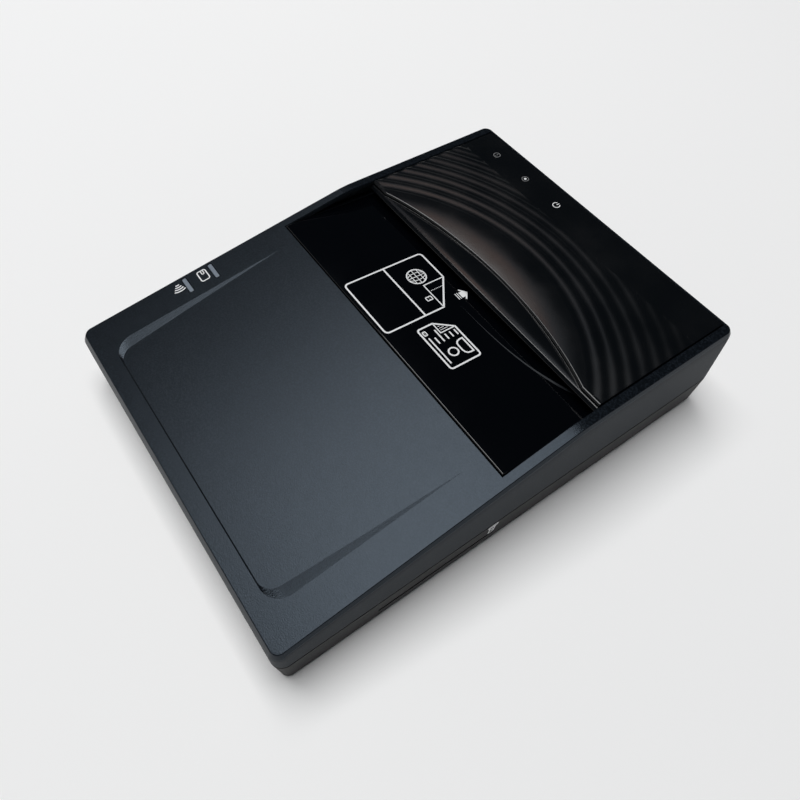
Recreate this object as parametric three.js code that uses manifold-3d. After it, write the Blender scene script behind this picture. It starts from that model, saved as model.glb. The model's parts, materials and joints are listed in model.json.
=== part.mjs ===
// Desktop passport reader, in millimetres, +Z up, front edge towards -Y.
// Inside this file x runs from the middle line, y from the front edge of the deck
// and z from the underside of the bottom cover. The last lines centre the part.

import * as THREE from 'three';
import { mergeVertices } from 'three/addons/utils/BufferGeometryUtils.js';
import Module from 'manifold-3d';

const wasm = await Module();
wasm.setup();

// Body outline
const DECK_WIDTH = 170;
const DECK_LENGTH = 226;
const FRONT_HEIGHT = 29.6;
const HOOD_HEIGHT = 50;
const HOOD_LEVEL = 90.4; // length of the level part behind the rising deck
const DECK_RADIUS = 3.5;
const BELT_OUT = 1.5; // how far the parting line stands out from the deck edge
const BASE_HEIGHT = 17.8; // parting line
const BASE_TAPER = 1.5;
const CREASE_HEIGHT = 26.4;
const CREASE_OUT = 1.4;
const SHOULDER_OUT = 1.2;
const SHOULDER_DROP = 2.3;
const SEAM = 0.3;
const WALL = 2.2;
const DECK_THICKNESS = 2.2;
const FLOOR = 2.4;

// Clearances and cuts
const SEAT = 0.3; // between a piece and what carries it
const RUN = 0.4; // round a piece that moves
const BITE = 0.4; // how far joined shapes reach into one another
const OVER = 1; // overrun of every cut

// Document tray
const TRAY_INSET = 15;
const TRAY_FRONT = 7.5;
const TRAY_WINDOW_GAP = 8.5;
const TRAY_DEPTH = 2;
const TRAY_BEVEL = 5.3; // width of the side bevel where the tray is deepest
const TRAY_FRONT_BEVEL = 0.9; // the same for the front wall
const TRAY_RADIUS = 9;
const TRAY_RIM = 2;

// Scan window and its well
const RAIL_WIDTH = 4.3;
const WINDOW_REACH = 125.5; // from the window's front edge to the rear of the deck
const WINDOW_PROUD = 0.58; // how far its front edge stands above the deck
const WINDOW_DROP = 5.54; // fall of the glass from its front edge to its rear edge
const WINDOW_LENGTH = 87.6;
const WINDOW_THICKNESS = 2;
const TAPE_THICKNESS = 0.5;
const TAPE_GAP = 0.1;
const LEDGE_WIDTH = 2;
const LEDGE_THICKNESS = 1.6;
const SKIRT = 1.8;

// Document hood
const HOOD_LENGTH = 78.1; // from its lip to the rear of the deck
const HOOD_GAP = 0.6;
const REAR_RIM = 0.9;
const HOOD_THICKNESS = 3.2;
const LIP_THICKNESS = 1.3;
const LIP_SETBACK = 0.7;
const HOOD_SETBACK = 1.9;
const SCOOP_MARGIN = 10.1;
const SCOOP_LENGTH = 12.1; // rise of the arch behind the straight front edge
const SHELF_THICKNESS = 2.2;
const GUIDE_WIDTH = 132; // clear width of the document slot
const GUIDE_INSET = 7.1;

// Status lights
const LIGHT_RADIUS = 2.1;
const LIGHT_REAR_INSET = 10.7;
const ERROR_LIGHT_INSET = 21.3;
const DATA_LIGHT_INSET = 43.9;
const POWER_LIGHT_INSET = 67.3;
const BAR_LENGTH = 9.2;
const BAR_WIDTH = 2;
const BAR_DEPTH = 5;
const BAR_INSET = 1.5;
const CONTACTLESS_BAR_OFFSET = 52.5; // from the window's front edge
const CARD_BAR_OFFSET = 39.5;

// Boards, chips and what carries them
const BOARD = 1.6;
const STANDOFF_RADIUS = 2.6;
const STANDOFF_TOP = 7.7;
const LED_SIZE = 2.4;
const LED_HEIGHT = 0.8;
const MAIN_INSET = 5;
const MAIN_FRONT_GAP = 4.5;
const MAIN_SIDE_GAP = 7.5;
const MAIN_SCREW_INSET = 5;
const CHIP_SIZE = 14;
const CHIP_HEIGHT = 1.2;
const CHIP_X = 9;
const SHIELD_WIDTH = 24;
const SHIELD_DEPTH = 17;
const SHIELD_HEIGHT = 3.4;
const SHIELD_SHEET = 0.5;
const SHIELD_X = -20;
const READER_INSET = 15;
const READER_CAMERA_GAP = 6;
const READER_FRONT = 22;
const READER_LENGTH = 78;
const READER_SCREW_INSET = 4;
const READER_CHIP_SIZE = 8;
const READER_CHIP_Y = 80;
const BUZZER_RADIUS = 5;
const BUZZER_HEIGHT = 4.5;
const BUZZER_HOLE = 1;
const BUZZER_Y = 60;
const INDICATOR_DEPTH = 14;
const INDICATOR_MARGIN = 5;
const INDICATOR_DROP = 3.6;
const INDICATOR_SCREW_OFFSET = 4.8;
const STATUS_WIDTH = 21;
const STATUS_LENGTH = 26;
const STATUS_SCREW_INSET = 4;
const ANTENNA_WIDTH = 100;
const ANTENNA_LENGTH = 42;
const ANTENNA_REAR_GAP = 6;
const ANTENNA_HOLE_SHARE = 0.7;
const ANTENNA_SCREW_INSET = 5;
const FERRITE_SHARE = 0.8;
const FERRITE_THICKNESS = 0.8;

// Secure-module socket and its cover in the floor
const MODULE_WIDTH = 27;
const MODULE_LENGTH = 17;
const MODULE_HEIGHT = 2.6;
const MODULE_SLOT = 1;
const DOOR_WIDTH = 36;
const DOOR_LENGTH = 32;
const DOOR_THICKNESS = 1.6;
const DOOR_FRONT = 30;
const KNUCKLE_RADIUS = 1.6;
const KNUCKLE_WIDTH = 20;
const LUG_WIDTH = 5;
const DOOR_PIN_RADIUS = 0.7;
const LATCH_WIDTH = 8;
const LATCH_REACH = 1.5;

// Chip-card connector
const CARD_Y = 69.75;
const CARD_Z = 7;
const CARD_SLOT_LENGTH = 57.5;
const CARD_SLOT_HEIGHT = 2;
const CARD_CHANNEL = 54.8;
const CARD_CHANNEL_HEIGHT = 1.2;
const CONNECTOR_CAMERA_GAP = 7.6;
const CONNECTOR_GAP = 1.2;
const CONNECTOR_WALL = 3;
const CONNECTOR_END = 2;
const CONNECTOR_TOP = 10.1;

// Levers, one for the chip card and one for the document
const HUB_RADIUS = 2.4;
const TIP_RADIUS = 1.1;
const LEVER_REACH = 15;
const LEVER_THICKNESS = 2;
const LEVER_PIN_RADIUS = 0.8;
const LEVER_PIN_GAP = 0.2;
const CARD_LEVER_OFFSET = 6.8; // from the connector's end to the lever's pin
const CARD_LEVER_Y = 80;
const CARD_LEVER_ANGLE = 45;
const CARD_LEVER_SWING = 12;
const FLAG_X = 52;
const FLAG_OFFSET = 4.4; // from the document stop to the flag's pin
const FLAG_ANGLE = 225;
const FLAG_DROP = 1.2;

// Optics under the window
const AXIS_RISE = 1; // of the camera's axis above the middle of the chassis
const CHASSIS_INSET = 11.7;
const CHASSIS_OVERHANG = 0.6; // past the rear edge of the glass
const CHASSIS_LENGTH = 46.5;
const CHASSIS_WINDOW_GAP = 5.4; // under the ledge that carries the rear of the glass
const CHEEK = 2;
const CHEEK_NECK = 7;
const SHELF_WIDTH = 7.5;
const SHELF_DEPTH = 1.6;
const MIRROR_OFFSET = 19.9; // from the rear edge of the glass to the middle of the mirror
const MIRROR_LENGTH = 33;
const MIRROR_THICKNESS = 2;
const TAB_WIDTH = 6.5;
const TAB_LENGTH = 10;
const LIGHT_BOARD_WIDTH = 6;
const LIGHT_COUNT = 10;
const BRACKET_WIDTH = 24;
const BRACKET_FRONT = 60;
const BRACKET_LENGTH = 15;
const CAMERA_BOARD_WIDTH = 19;
const CAMERA_SCREW_INSET = 4;
const BARREL_BLOCK = 13;
const BARREL_BLOCK_DEPTH = 4;
const BARREL_RADIUS = 5.5;
const BARREL_LENGTH = 11;
const LENS_RADIUS = 4;
const LENS_THICKNESS = 2.4;
const LENS_INSET = 1;

// Rear ports
const USB_X = 40;
const USB_WIDTH = 9;
const USB_HEIGHT = 3.2;
const USB_DEPTH = 9.5;
const USB_SHEET = 0.5;
const USB_HOLE_DEPTH = 6;
const LOCK_X = -50;
const LOCK_WIDTH = 7;
const LOCK_HEIGHT = 3;
const LOCK_Z = 11;

// Feet and fasteners
const FOOT_RADIUS = 6;
const FOOT_PROUD = 1.6;
const FOOT_RECESS = 0.8;
const FOOT_INSET_X = 19;
const FOOT_INSET_Y = 22;
const POST_RADIUS = 3.5;
const BOSS_RADIUS = 4.2;
const BOSS_TOP = 10;
const POST_INSET_X = 8;
const POST_INSET_Y = 9;
const CASE_HEAD_RADIUS = 2.6;
const CASE_HEAD_HEIGHT = 2;
const CASE_HEAD_TOP = 4;
const CASE_SHANK_RADIUS = 1.3;
const CASE_SHANK_LENGTH = 14;
const HEAD_RADIUS = 2.1;
const HEAD_HEIGHT = 1.4;
const SHANK_RADIUS = 1;
const SHANK_LENGTH = 5.6;
const SHORT_SHANK_LENGTH = 3.2;
const RECESS_WIDTH_SHARE = 0.28;
const RECESS_LENGTH_SHARE = 1.3;
const RECESS_DEPTH_SHARE = 0.5;

// Steps of round shapes
const ROUND_STEPS = 24;
const SMALL_STEPS = 12;
const CORNER_STEPS = 8;

// Places that follow from the sizes
const QUARTER = Math.PI / 2;
const KINK_PLACE = DECK_LENGTH - HOOD_LEVEL;
const DECK_SLOPE = Math.atan((HOOD_HEIGHT - FRONT_HEIGHT) / KINK_PLACE);
const WINDOW_SLOPE = Math.asin(WINDOW_DROP / WINDOW_LENGTH);
const HALF_WIDTH = DECK_WIDTH / 2;
const WELL_HALF = HALF_WIDTH - RAIL_WIDTH;
const WINDOW_HALF = WELL_HALF - SEAT;
const HOOD_HALF = WELL_HALF - HOOD_GAP;
const HOOD_FRONT = DECK_LENGTH - HOOD_LENGTH;
const HOOD_REAR = DECK_LENGTH - REAR_RIM - SEAT;
const HOOD_FOOT = HOOD_HEIGHT - HOOD_THICKNESS;
const SHELF_TOP = HOOD_FOOT - SEAT;
const SHELF_FOOT = SHELF_TOP - SHELF_THICKNESS;
const WINDOW_FRONT = DECK_LENGTH - WINDOW_REACH;
const WINDOW_HEIGHT = deckHeight(WINDOW_FRONT) + WINDOW_PROUD;
const WINDOW_REAR = WINDOW_FRONT + WINDOW_LENGTH * Math.cos(WINDOW_SLOPE);
const STOP_REAR = WINDOW_REAR + SEAT + SKIRT;
const LEDGE_DROP = WINDOW_THICKNESS + TAPE_THICKNESS + 2 * TAPE_GAP;
const TRAY_HALF = HALF_WIDTH - TRAY_INSET;
const TRAY_REAR = WINDOW_FRONT - TRAY_WINDOW_GAP;
const ANTENNA_FRONT = TRAY_REAR - ANTENNA_REAR_GAP - ANTENNA_LENGTH;
const SCOOP_HALF = HOOD_HALF - SCOOP_MARGIN;
const GUIDE_FRONT = HOOD_FRONT + GUIDE_INSET;
const LIGHT_Y = DECK_LENGTH - LIGHT_REAR_INSET;
const LIGHT_X = {
  error: ERROR_LIGHT_INSET - HALF_WIDTH,
  data: DATA_LIGHT_INSET - HALF_WIDTH,
  power: POWER_LIGHT_INSET - HALF_WIDTH,
};
const BAR_Y = {
  contactless: (WINDOW_FRONT - CONTACTLESS_BAR_OFFSET) / Math.cos(DECK_SLOPE),
  card: (WINDOW_FRONT - CARD_BAR_OFFSET) / Math.cos(DECK_SLOPE),
};
const CARRIED = STANDOFF_TOP + SEAT; // underside of whatever stands on the standoffs
const MAIN_FRONT = STOP_REAR + MAIN_FRONT_GAP - SKIRT;
const MAIN_REAR = DECK_LENGTH - MAIN_INSET;
const MAIN_HALF = HALF_WIDTH - POST_INSET_X - POST_RADIUS - MAIN_SIDE_GAP;
const READER_LEFT = READER_INSET - HALF_WIDTH;
const READER_WIDTH = HALF_WIDTH - READER_INSET - BRACKET_WIDTH / 2 - READER_CAMERA_GAP;
const DOOR_X = READER_LEFT + READER_WIDTH / 2;
const CONNECTOR_RIGHT = HALF_WIDTH - WALL - CONNECTOR_GAP + BELT_OUT * CARD_Z / BASE_HEIGHT;
const CONNECTOR_LEFT = BRACKET_WIDTH / 2 + CONNECTOR_CAMERA_GAP;
const CARD_LEVER_X = CONNECTOR_LEFT - CARD_LEVER_OFFSET;
const CARD_LEVER_FOOT = CARD_Z - LEVER_THICKNESS / 2;
const FLAG_Y = STOP_REAR + FLAG_OFFSET;
const FLAG_FOOT = SHELF_FOOT - FLAG_DROP - LEVER_THICKNESS;
const CHASSIS_HALF = WELL_HALF - CHASSIS_INSET;
const CHASSIS_REAR = WINDOW_REAR + CHASSIS_OVERHANG;
const CHASSIS_FRONT = CHASSIS_REAR - CHASSIS_LENGTH;
const MIRROR_Y = WINDOW_REAR - MIRROR_OFFSET;
const LEDGE_FOOT = WINDOW_HEIGHT - WINDOW_DROP - LEDGE_DROP - LEDGE_THICKNESS;
const CHASSIS_TOP = LEDGE_FOOT - CHASSIS_WINDOW_GAP;
const AXIS_HEIGHT = (CARRIED + CHASSIS_TOP) / 2 + AXIS_RISE;
const CAMERA_BOARD_HALF_HEIGHT = AXIS_HEIGHT - CARRIED - BOARD - SEAT;
const AXLE_Y = DOOR_FRONT + KNUCKLE_RADIUS;
const STATUS_TOP = BAR_DEPTH + SEAT;
const TRAY_UNDERSIDE = TRAY_DEPTH + DECK_THICKNESS;
const INDICATOR_TOP = SHELF_FOOT - INDICATOR_DROP - SEAT;
const MAIN_SCREWS = [-1, 1].map((side) => [
  side * (MAIN_HALF - MAIN_SCREW_INSET),
  MAIN_FRONT + MAIN_SCREW_INSET,
]);
const READER_SCREWS = [
  [READER_LEFT + READER_SCREW_INSET, READER_FRONT + READER_LENGTH - READER_SCREW_INSET],
  [READER_LEFT + READER_WIDTH - READER_SCREW_INSET, READER_FRONT + READER_SCREW_INSET],
];
const CHASSIS_SCREWS = [-1, 1].map((side) => [side * (CHASSIS_HALF + TAB_WIDTH / 2), MIRROR_Y]);
const BRACKET_SCREWS = [-1, 1].map((side) => [
  side * (BRACKET_WIDTH / 2 - CAMERA_SCREW_INSET),
  BRACKET_FRONT + BRACKET_LENGTH - CAMERA_SCREW_INSET,
]);
const FLOOR_SCREWS = [...MAIN_SCREWS, ...READER_SCREWS, ...CHASSIS_SCREWS, ...BRACKET_SCREWS];
const INDICATOR_SCREWS = [
  [(LIGHT_X.error + LIGHT_X.data) / 2, LIGHT_Y - INDICATOR_SCREW_OFFSET],
  [(LIGHT_X.data + LIGHT_X.power) / 2, LIGHT_Y - INDICATOR_SCREW_OFFSET],
];
const STATUS_SCREW = [
  BAR_INSET - HALF_WIDTH + STATUS_WIDTH - STATUS_SCREW_INSET,
  (BAR_Y.contactless + BAR_Y.card) / 2,
];
const ANTENNA_SCREWS = [-1, 1].map((side) => [
  side * (ANTENNA_WIDTH / 2 - ANTENNA_SCREW_INSET),
  ANTENNA_FRONT + ANTENNA_LENGTH - ANTENNA_SCREW_INSET,
]);

// Materials
function look(color, roughness, metalness = 0) {
  return new THREE.MeshStandardMaterial({ color, roughness, metalness });
}

const deckPlastic = look('#4b4e52', 0.62);
const basePlastic = look('#2c2e31', 0.62);
const glossBlack = look('#0a0a0c', 0.08);
const hoodBlack = look('#141210', 0.22);
const foam = look('#1c1c1e', 0.95);
const frosted = look('#cfd6dc', 0.4);
const rubber = look('#171717', 0.9);
const steel = look('#b9bcc0', 0.3, 1);
const boardGreen = look('#1d5a37', 0.5);
const chipBlack = look('#1a1a1b', 0.5);
const ferrite = look('#3a3634', 0.8);
const innerPlastic = look('#26282b', 0.6);
const mirrorGlass = look('#dfe4e8', 0.03, 1);
const lensGlass = look('#5a6a80', 0.05);

// Frames that lie on the deck and on the window
const deckFrame = new THREE.Matrix4().makeRotationX(DECK_SLOPE).setPosition(0, 0, FRONT_HEIGHT);
const windowFrame = new THREE.Matrix4().makeRotationX(-WINDOW_SLOPE);
windowFrame.setPosition(0, WINDOW_FRONT, WINDOW_HEIGHT);

// Shapes
function closed(positions, index) {
  const geometry = new THREE.BufferGeometry();
  geometry.setAttribute('position', new THREE.Float32BufferAttribute(positions, 3));
  geometry.setIndex(index);
  return geometry;
}

function solid(geometry) {
  const plain = geometry.clone();
  plain.deleteAttribute('normal');
  plain.deleteAttribute('uv');
  const welded = mergeVertices(plain);
  return new wasm.Manifold(new wasm.Mesh({
    numProp: 3,
    vertProperties: new Float32Array(welded.attributes.position.array),
    triVerts: new Uint32Array(welded.index.array),
  }));
}

function shaped(manifold) {
  const mesh = manifold.getMesh();
  return closed(Array.from(mesh.vertProperties), Array.from(mesh.triVerts));
}

function join(pieces) {
  return shaped(pieces.map(solid).reduce((all, piece) => all.add(piece)));
}

function cut(body, tools) {
  return shaped(tools.map(solid).reduce((rest, tool) => rest.subtract(tool), solid(body)));
}

function slab(left, right, front, rear, foot, top) {
  const geometry = new THREE.BoxGeometry(right - left, rear - front, top - foot);
  return geometry.translate((left + right) / 2, (front + rear) / 2, (foot + top) / 2);
}

function rod(radius, x, y, foot, top, steps = SMALL_STEPS) {
  const geometry = new THREE.CylinderGeometry(radius, radius, top - foot, steps);
  return geometry.rotateX(QUARTER).translate(x, y, (foot + top) / 2);
}

function rodAcross(radius, left, right, y, z, steps = SMALL_STEPS) {
  const geometry = new THREE.CylinderGeometry(radius, radius, right - left, steps);
  return geometry.rotateZ(QUARTER).translate((left + right) / 2, y, z);
}

function rodBack(radius, x, front, rear, z, steps = ROUND_STEPS) {
  const geometry = new THREE.CylinderGeometry(radius, radius, rear - front, steps);
  return geometry.translate(x, (front + rear) / 2, z);
}

function prism(outline, left, right) {
  const shape = new THREE.Shape(outline.map(([y, z]) => new THREE.Vector2(y, z)));
  const geometry = new THREE.ExtrudeGeometry(shape, { depth: right - left, bevelEnabled: false });
  const turn = new THREE.Matrix4().makeBasis(
    new THREE.Vector3(0, 1, 0),
    new THREE.Vector3(0, 0, 1),
    new THREE.Vector3(1, 0, 0),
  );
  return geometry.applyMatrix4(turn).translate(left, 0, 0);
}

function upright(shape, foot, top) {
  const geometry = new THREE.ExtrudeGeometry(shape, { depth: top - foot, bevelEnabled: false });
  return geometry.translate(0, 0, foot);
}

// Closed body through rings of equal count, its ends split in two where a ring is bent
function loft(rings, bend = 0) {
  const count = rings[0].length;
  const top = (rings.length - 1) * count;
  const index = [];
  for (let low = 0; low < top; low += count) {
    const high = low + count;
    for (let i = 0; i < count; i += 1) {
      const next = (i + 1) % count;
      index.push(low + i, low + next, high + next, low + i, high + next, high + i);
    }
  }
  const order = [...Array(count).keys()];
  const fans = bend ? [order.slice(0, bend + 1), [...order.slice(bend), 0]] : [order];
  for (const fan of fans) {
    for (let i = 1; i < fan.length - 1; i += 1) {
      index.push(top + fan[0], top + fan[i], top + fan[i + 1]);
      index.push(fan[0], fan[i + 1], fan[i]);
    }
  }
  return closed(rings.flat(2), index);
}

function arc(x, y, radius, start) {
  const points = [];
  for (let i = 0; i <= CORNER_STEPS; i += 1) {
    const angle = start + QUARTER * i / CORNER_STEPS;
    points.push([x + radius * Math.cos(angle), y + radius * Math.sin(angle)]);
  }
  return points;
}

function deckHeight(y) {
  return Math.min(FRONT_HEIGHT + Math.tan(DECK_SLOPE) * y, HOOD_HEIGHT);
}

// Ring round the deck, moved outwards, with a point where the deck is bent
function deckRing(out, heightAt) {
  const side = HALF_WIDTH + out;
  const radius = DECK_RADIUS + out;
  const front = -out + radius;
  const rear = DECK_LENGTH + out - radius;
  const points = [
    [-side, KINK_PLACE],
    ...arc(radius - side, front, radius, 2 * QUARTER),
    ...arc(side - radius, front, radius, 3 * QUARTER),
    [side, KINK_PLACE],
    ...arc(side - radius, rear, radius, 0),
    ...arc(radius - side, rear, radius, QUARTER),
  ];
  return points.map(([x, y]) => [x, y, heightAt(y)]);
}

const DECK_BEND = 2 * (CORNER_STEPS + 1) + 1;

// Tray recess, in the deck's frame
function trayRing(heightAt) {
  const bevel = TRAY_BEVEL / TRAY_DEPTH;
  const sideAt = (y) => TRAY_HALF + bevel * heightAt(y);
  const front = TRAY_FRONT - heightAt(TRAY_FRONT) * TRAY_FRONT_BEVEL / TRAY_DEPTH;
  const radius = TRAY_RADIUS + heightAt(TRAY_FRONT) * (bevel - TRAY_FRONT_BEVEL / TRAY_DEPTH) / 2;
  const rear = TRAY_REAR + TRAY_RADIUS;
  const points = [
    ...arc(radius - sideAt(front), front + radius, radius, 2 * QUARTER),
    ...arc(sideAt(front) - radius, front + radius, radius, 3 * QUARTER),
    [sideAt(rear), rear],
    [-sideAt(rear), rear],
  ];
  return points.map(([x, y]) => [x, y, heightAt(y)]);
}

function trayRecess() {
  const rise = TRAY_DEPTH / (TRAY_REAR - TRAY_FRONT);
  const floorAt = (y) => rise * (y - TRAY_FRONT) - TRAY_DEPTH;
  return loft([trayRing(floorAt), trayRing(() => OVER)]).applyMatrix4(deckFrame);
}

function casePlaces() {
  const x = HALF_WIDTH - POST_INSET_X;
  const ys = [POST_INSET_Y, DECK_LENGTH - POST_INSET_Y];
  return ys.flatMap((y) => [[-x, y], [x, y]]);
}

function footPlaces() {
  const x = HALF_WIDTH - FOOT_INSET_X;
  const ys = [FOOT_INSET_Y, DECK_LENGTH - FOOT_INSET_Y];
  return ys.flatMap((y) => [[-x, y], [x, y]]);
}

// What stays solid inside the top cover's hollow
function topCoverRibs() {
  const frameHalf = WELL_HALF + SKIRT;
  const inner = WELL_HALF - LEDGE_WIDTH;
  const foot = -LEDGE_DROP - LEDGE_THICKNESS;
  const frame = cut(
    slab(-frameHalf, frameHalf, -SEAT - SKIRT, WINDOW_LENGTH + SEAT + SKIRT, foot, HOOD_HEIGHT),
    [slab(-inner, inner, LEDGE_WIDTH, WINDOW_LENGTH - LEDGE_WIDTH, foot - OVER, HOOD_HEIGHT + OVER)],
  );
  const tray = slab(
    -TRAY_HALF - TRAY_RIM,
    TRAY_HALF + TRAY_RIM,
    TRAY_FRONT - TRAY_RIM,
    TRAY_REAR + TRAY_RIM,
    -TRAY_UNDERSIDE,
    0,
  );
  const shelf = slab(-DECK_WIDTH, DECK_WIDTH, WINDOW_REAR, DECK_LENGTH + OVER, SHELF_FOOT, HOOD_HEIGHT);
  const statusBoss = rod(STANDOFF_RADIUS, ...STATUS_SCREW, SEAT - STATUS_TOP - LED_HEIGHT, 0);
  const indicatorBosses = INDICATOR_SCREWS.map(([x, y]) => (
    rod(STANDOFF_RADIUS, x, y, INDICATOR_TOP + SEAT, SHELF_TOP)
  ));
  const flagBoss = rod(HUB_RADIUS, FLAG_X, FLAG_Y, FLAG_FOOT + LEVER_THICKNESS + SEAT, SHELF_TOP);
  const posts = casePlaces().map(([x, y]) => rod(POST_RADIUS, x, y, BASE_HEIGHT, HOOD_HEIGHT));
  return [
    frame.applyMatrix4(windowFrame),
    tray.applyMatrix4(deckFrame),
    statusBoss.applyMatrix4(deckFrame),
    shelf,
    flagBoss,
    ...indicatorBosses,
    ...posts,
  ];
}

function topCoverCuts() {
  const well = slab(-WELL_HALF, WELL_HALF, -SEAT, WINDOW_LENGTH + SEAT, -LEDGE_DROP, HOOD_HEIGHT);
  const pocket = slab(-WELL_HALF, WELL_HALF, KINK_PLACE, HOOD_REAR + SEAT, SHELF_TOP, HOOD_HEIGHT + OVER);
  const bars = Object.values(BAR_Y).map((y) => slab(
    BAR_INSET - HALF_WIDTH - SEAT,
    BAR_INSET - HALF_WIDTH + BAR_LENGTH + SEAT,
    y - BAR_WIDTH / 2 - SEAT,
    y + BAR_WIDTH / 2 + SEAT,
    -BAR_DEPTH,
    OVER,
  ).applyMatrix4(deckFrame));
  const lights = Object.values(LIGHT_X).map((x) => (
    rod(LIGHT_RADIUS + SEAT, x, LIGHT_Y, SHELF_FOOT - OVER, HOOD_HEIGHT)
  ));
  const indicatorPilots = INDICATOR_SCREWS.map(([x, y]) => (
    rod(SHANK_RADIUS + SEAT / 2, x, y, INDICATOR_TOP, INDICATOR_TOP + SHORT_SHANK_LENGTH)
  ));
  const deckPilots = [STATUS_SCREW, ...ANTENNA_SCREWS].map(([x, y]) => (
    rod(SHANK_RADIUS + SEAT / 2, x, y, -STATUS_TOP - OVER, SHORT_SHANK_LENGTH - STATUS_TOP)
  ).applyMatrix4(deckFrame));
  const flagPin = rod(
    LEVER_PIN_RADIUS + LEVER_PIN_GAP,
    FLAG_X,
    FLAG_Y,
    FLAG_FOOT,
    SHELF_FOOT + SHELF_THICKNESS / 2,
  );
  const swing = LEVER_REACH + HUB_RADIUS;
  const gateRear = FLAG_Y - HUB_RADIUS;
  const flagGate = slab(FLAG_X - swing, FLAG_X, WINDOW_REAR, gateRear, FLAG_FOOT - RUN, SHELF_FOOT);
  return [
    well.applyMatrix4(windowFrame),
    pocket,
    trayRecess(),
    flagPin,
    flagGate,
    ...bars,
    ...lights,
    ...indicatorPilots,
    ...deckPilots,
  ];
}

// Blocks beside the document slot
function slotGuides() {
  const glassAt = (y) => WINDOW_HEIGHT - Math.tan(WINDOW_SLOPE) * (y - WINDOW_FRONT) + SEAT;
  const rear = WINDOW_REAR + SEAT + BITE;
  const outline = [
    [GUIDE_FRONT, glassAt(GUIDE_FRONT)],
    [rear, glassAt(rear)],
    [rear, SHELF_TOP],
    [GUIDE_FRONT, SHELF_TOP],
  ];
  return [
    prism(outline, GUIDE_WIDTH / 2, WELL_HALF + BITE),
    prism(outline, -WELL_HALF - BITE, -GUIDE_WIDTH / 2),
  ];
}

function topCover() {
  const foot = BASE_HEIGHT + SEAM / 2;
  const shell = loft([
    deckRing(BELT_OUT, () => foot),
    deckRing(CREASE_OUT, () => CREASE_HEIGHT),
    deckRing(SHOULDER_OUT, (y) => deckHeight(y) - SHOULDER_DROP),
    deckRing(0, deckHeight),
  ], DECK_BEND);
  const hollow = loft([
    deckRing(BELT_OUT - WALL, () => foot - OVER),
    deckRing(SHOULDER_OUT - WALL, (y) => deckHeight(y) - DECK_THICKNESS),
  ], DECK_BEND);
  const cover = cut(shell, [cut(hollow, topCoverRibs()), ...topCoverCuts()]);
  const posts = casePlaces().map(([x, y]) => rod(POST_RADIUS, x, y, BOSS_TOP + SEAT, foot + BITE));
  const pilots = casePlaces().map(([x, y]) => (
    rod(CASE_SHANK_RADIUS + SEAT / 2, x, y, BOSS_TOP, CASE_HEAD_TOP + CASE_SHANK_LENGTH + OVER)
  ));
  return cut(join([cover, ...slotGuides(), ...posts]), pilots);
}

function bottomCoverRibs() {
  const bosses = casePlaces().map(([x, y]) => rod(BOSS_RADIUS, x, y, 0, BOSS_TOP));
  const standoffs = FLOOR_SCREWS.map(([x, y]) => rod(STANDOFF_RADIUS, x, y, 0, STANDOFF_TOP));
  const leverBoss = rod(HUB_RADIUS, CARD_LEVER_X, CARD_LEVER_Y, 0, CARD_LEVER_FOOT - SEAT);
  return [...bosses, ...standoffs, leverBoss];
}

function doorLugs() {
  const inner = KNUCKLE_WIDTH / 2 + RUN;
  const latchRear = DOOR_FRONT + DOOR_LENGTH + RUN + LATCH_REACH;
  const latchFront = latchRear - RUN - 2 * LATCH_REACH;
  const latchFoot = DOOR_THICKNESS + SEAT;
  const spans = [[DOOR_X - inner - LUG_WIDTH, DOOR_X - inner], [DOOR_X + inner, DOOR_X + inner + LUG_WIDTH]];
  const lugs = spans.flatMap(([left, right]) => [
    rodAcross(KNUCKLE_RADIUS, left, right, AXLE_Y, KNUCKLE_RADIUS, SMALL_STEPS),
    slab(left, right, DOOR_FRONT - RUN - BITE, AXLE_Y, 0, FLOOR),
  ]);
  const latch = slab(
    DOOR_X - LATCH_WIDTH / 2,
    DOOR_X + LATCH_WIDTH / 2,
    latchFront,
    latchRear,
    latchFoot,
    latchFoot + LATCH_REACH,
  );
  return [...lugs, latch];
}

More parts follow.
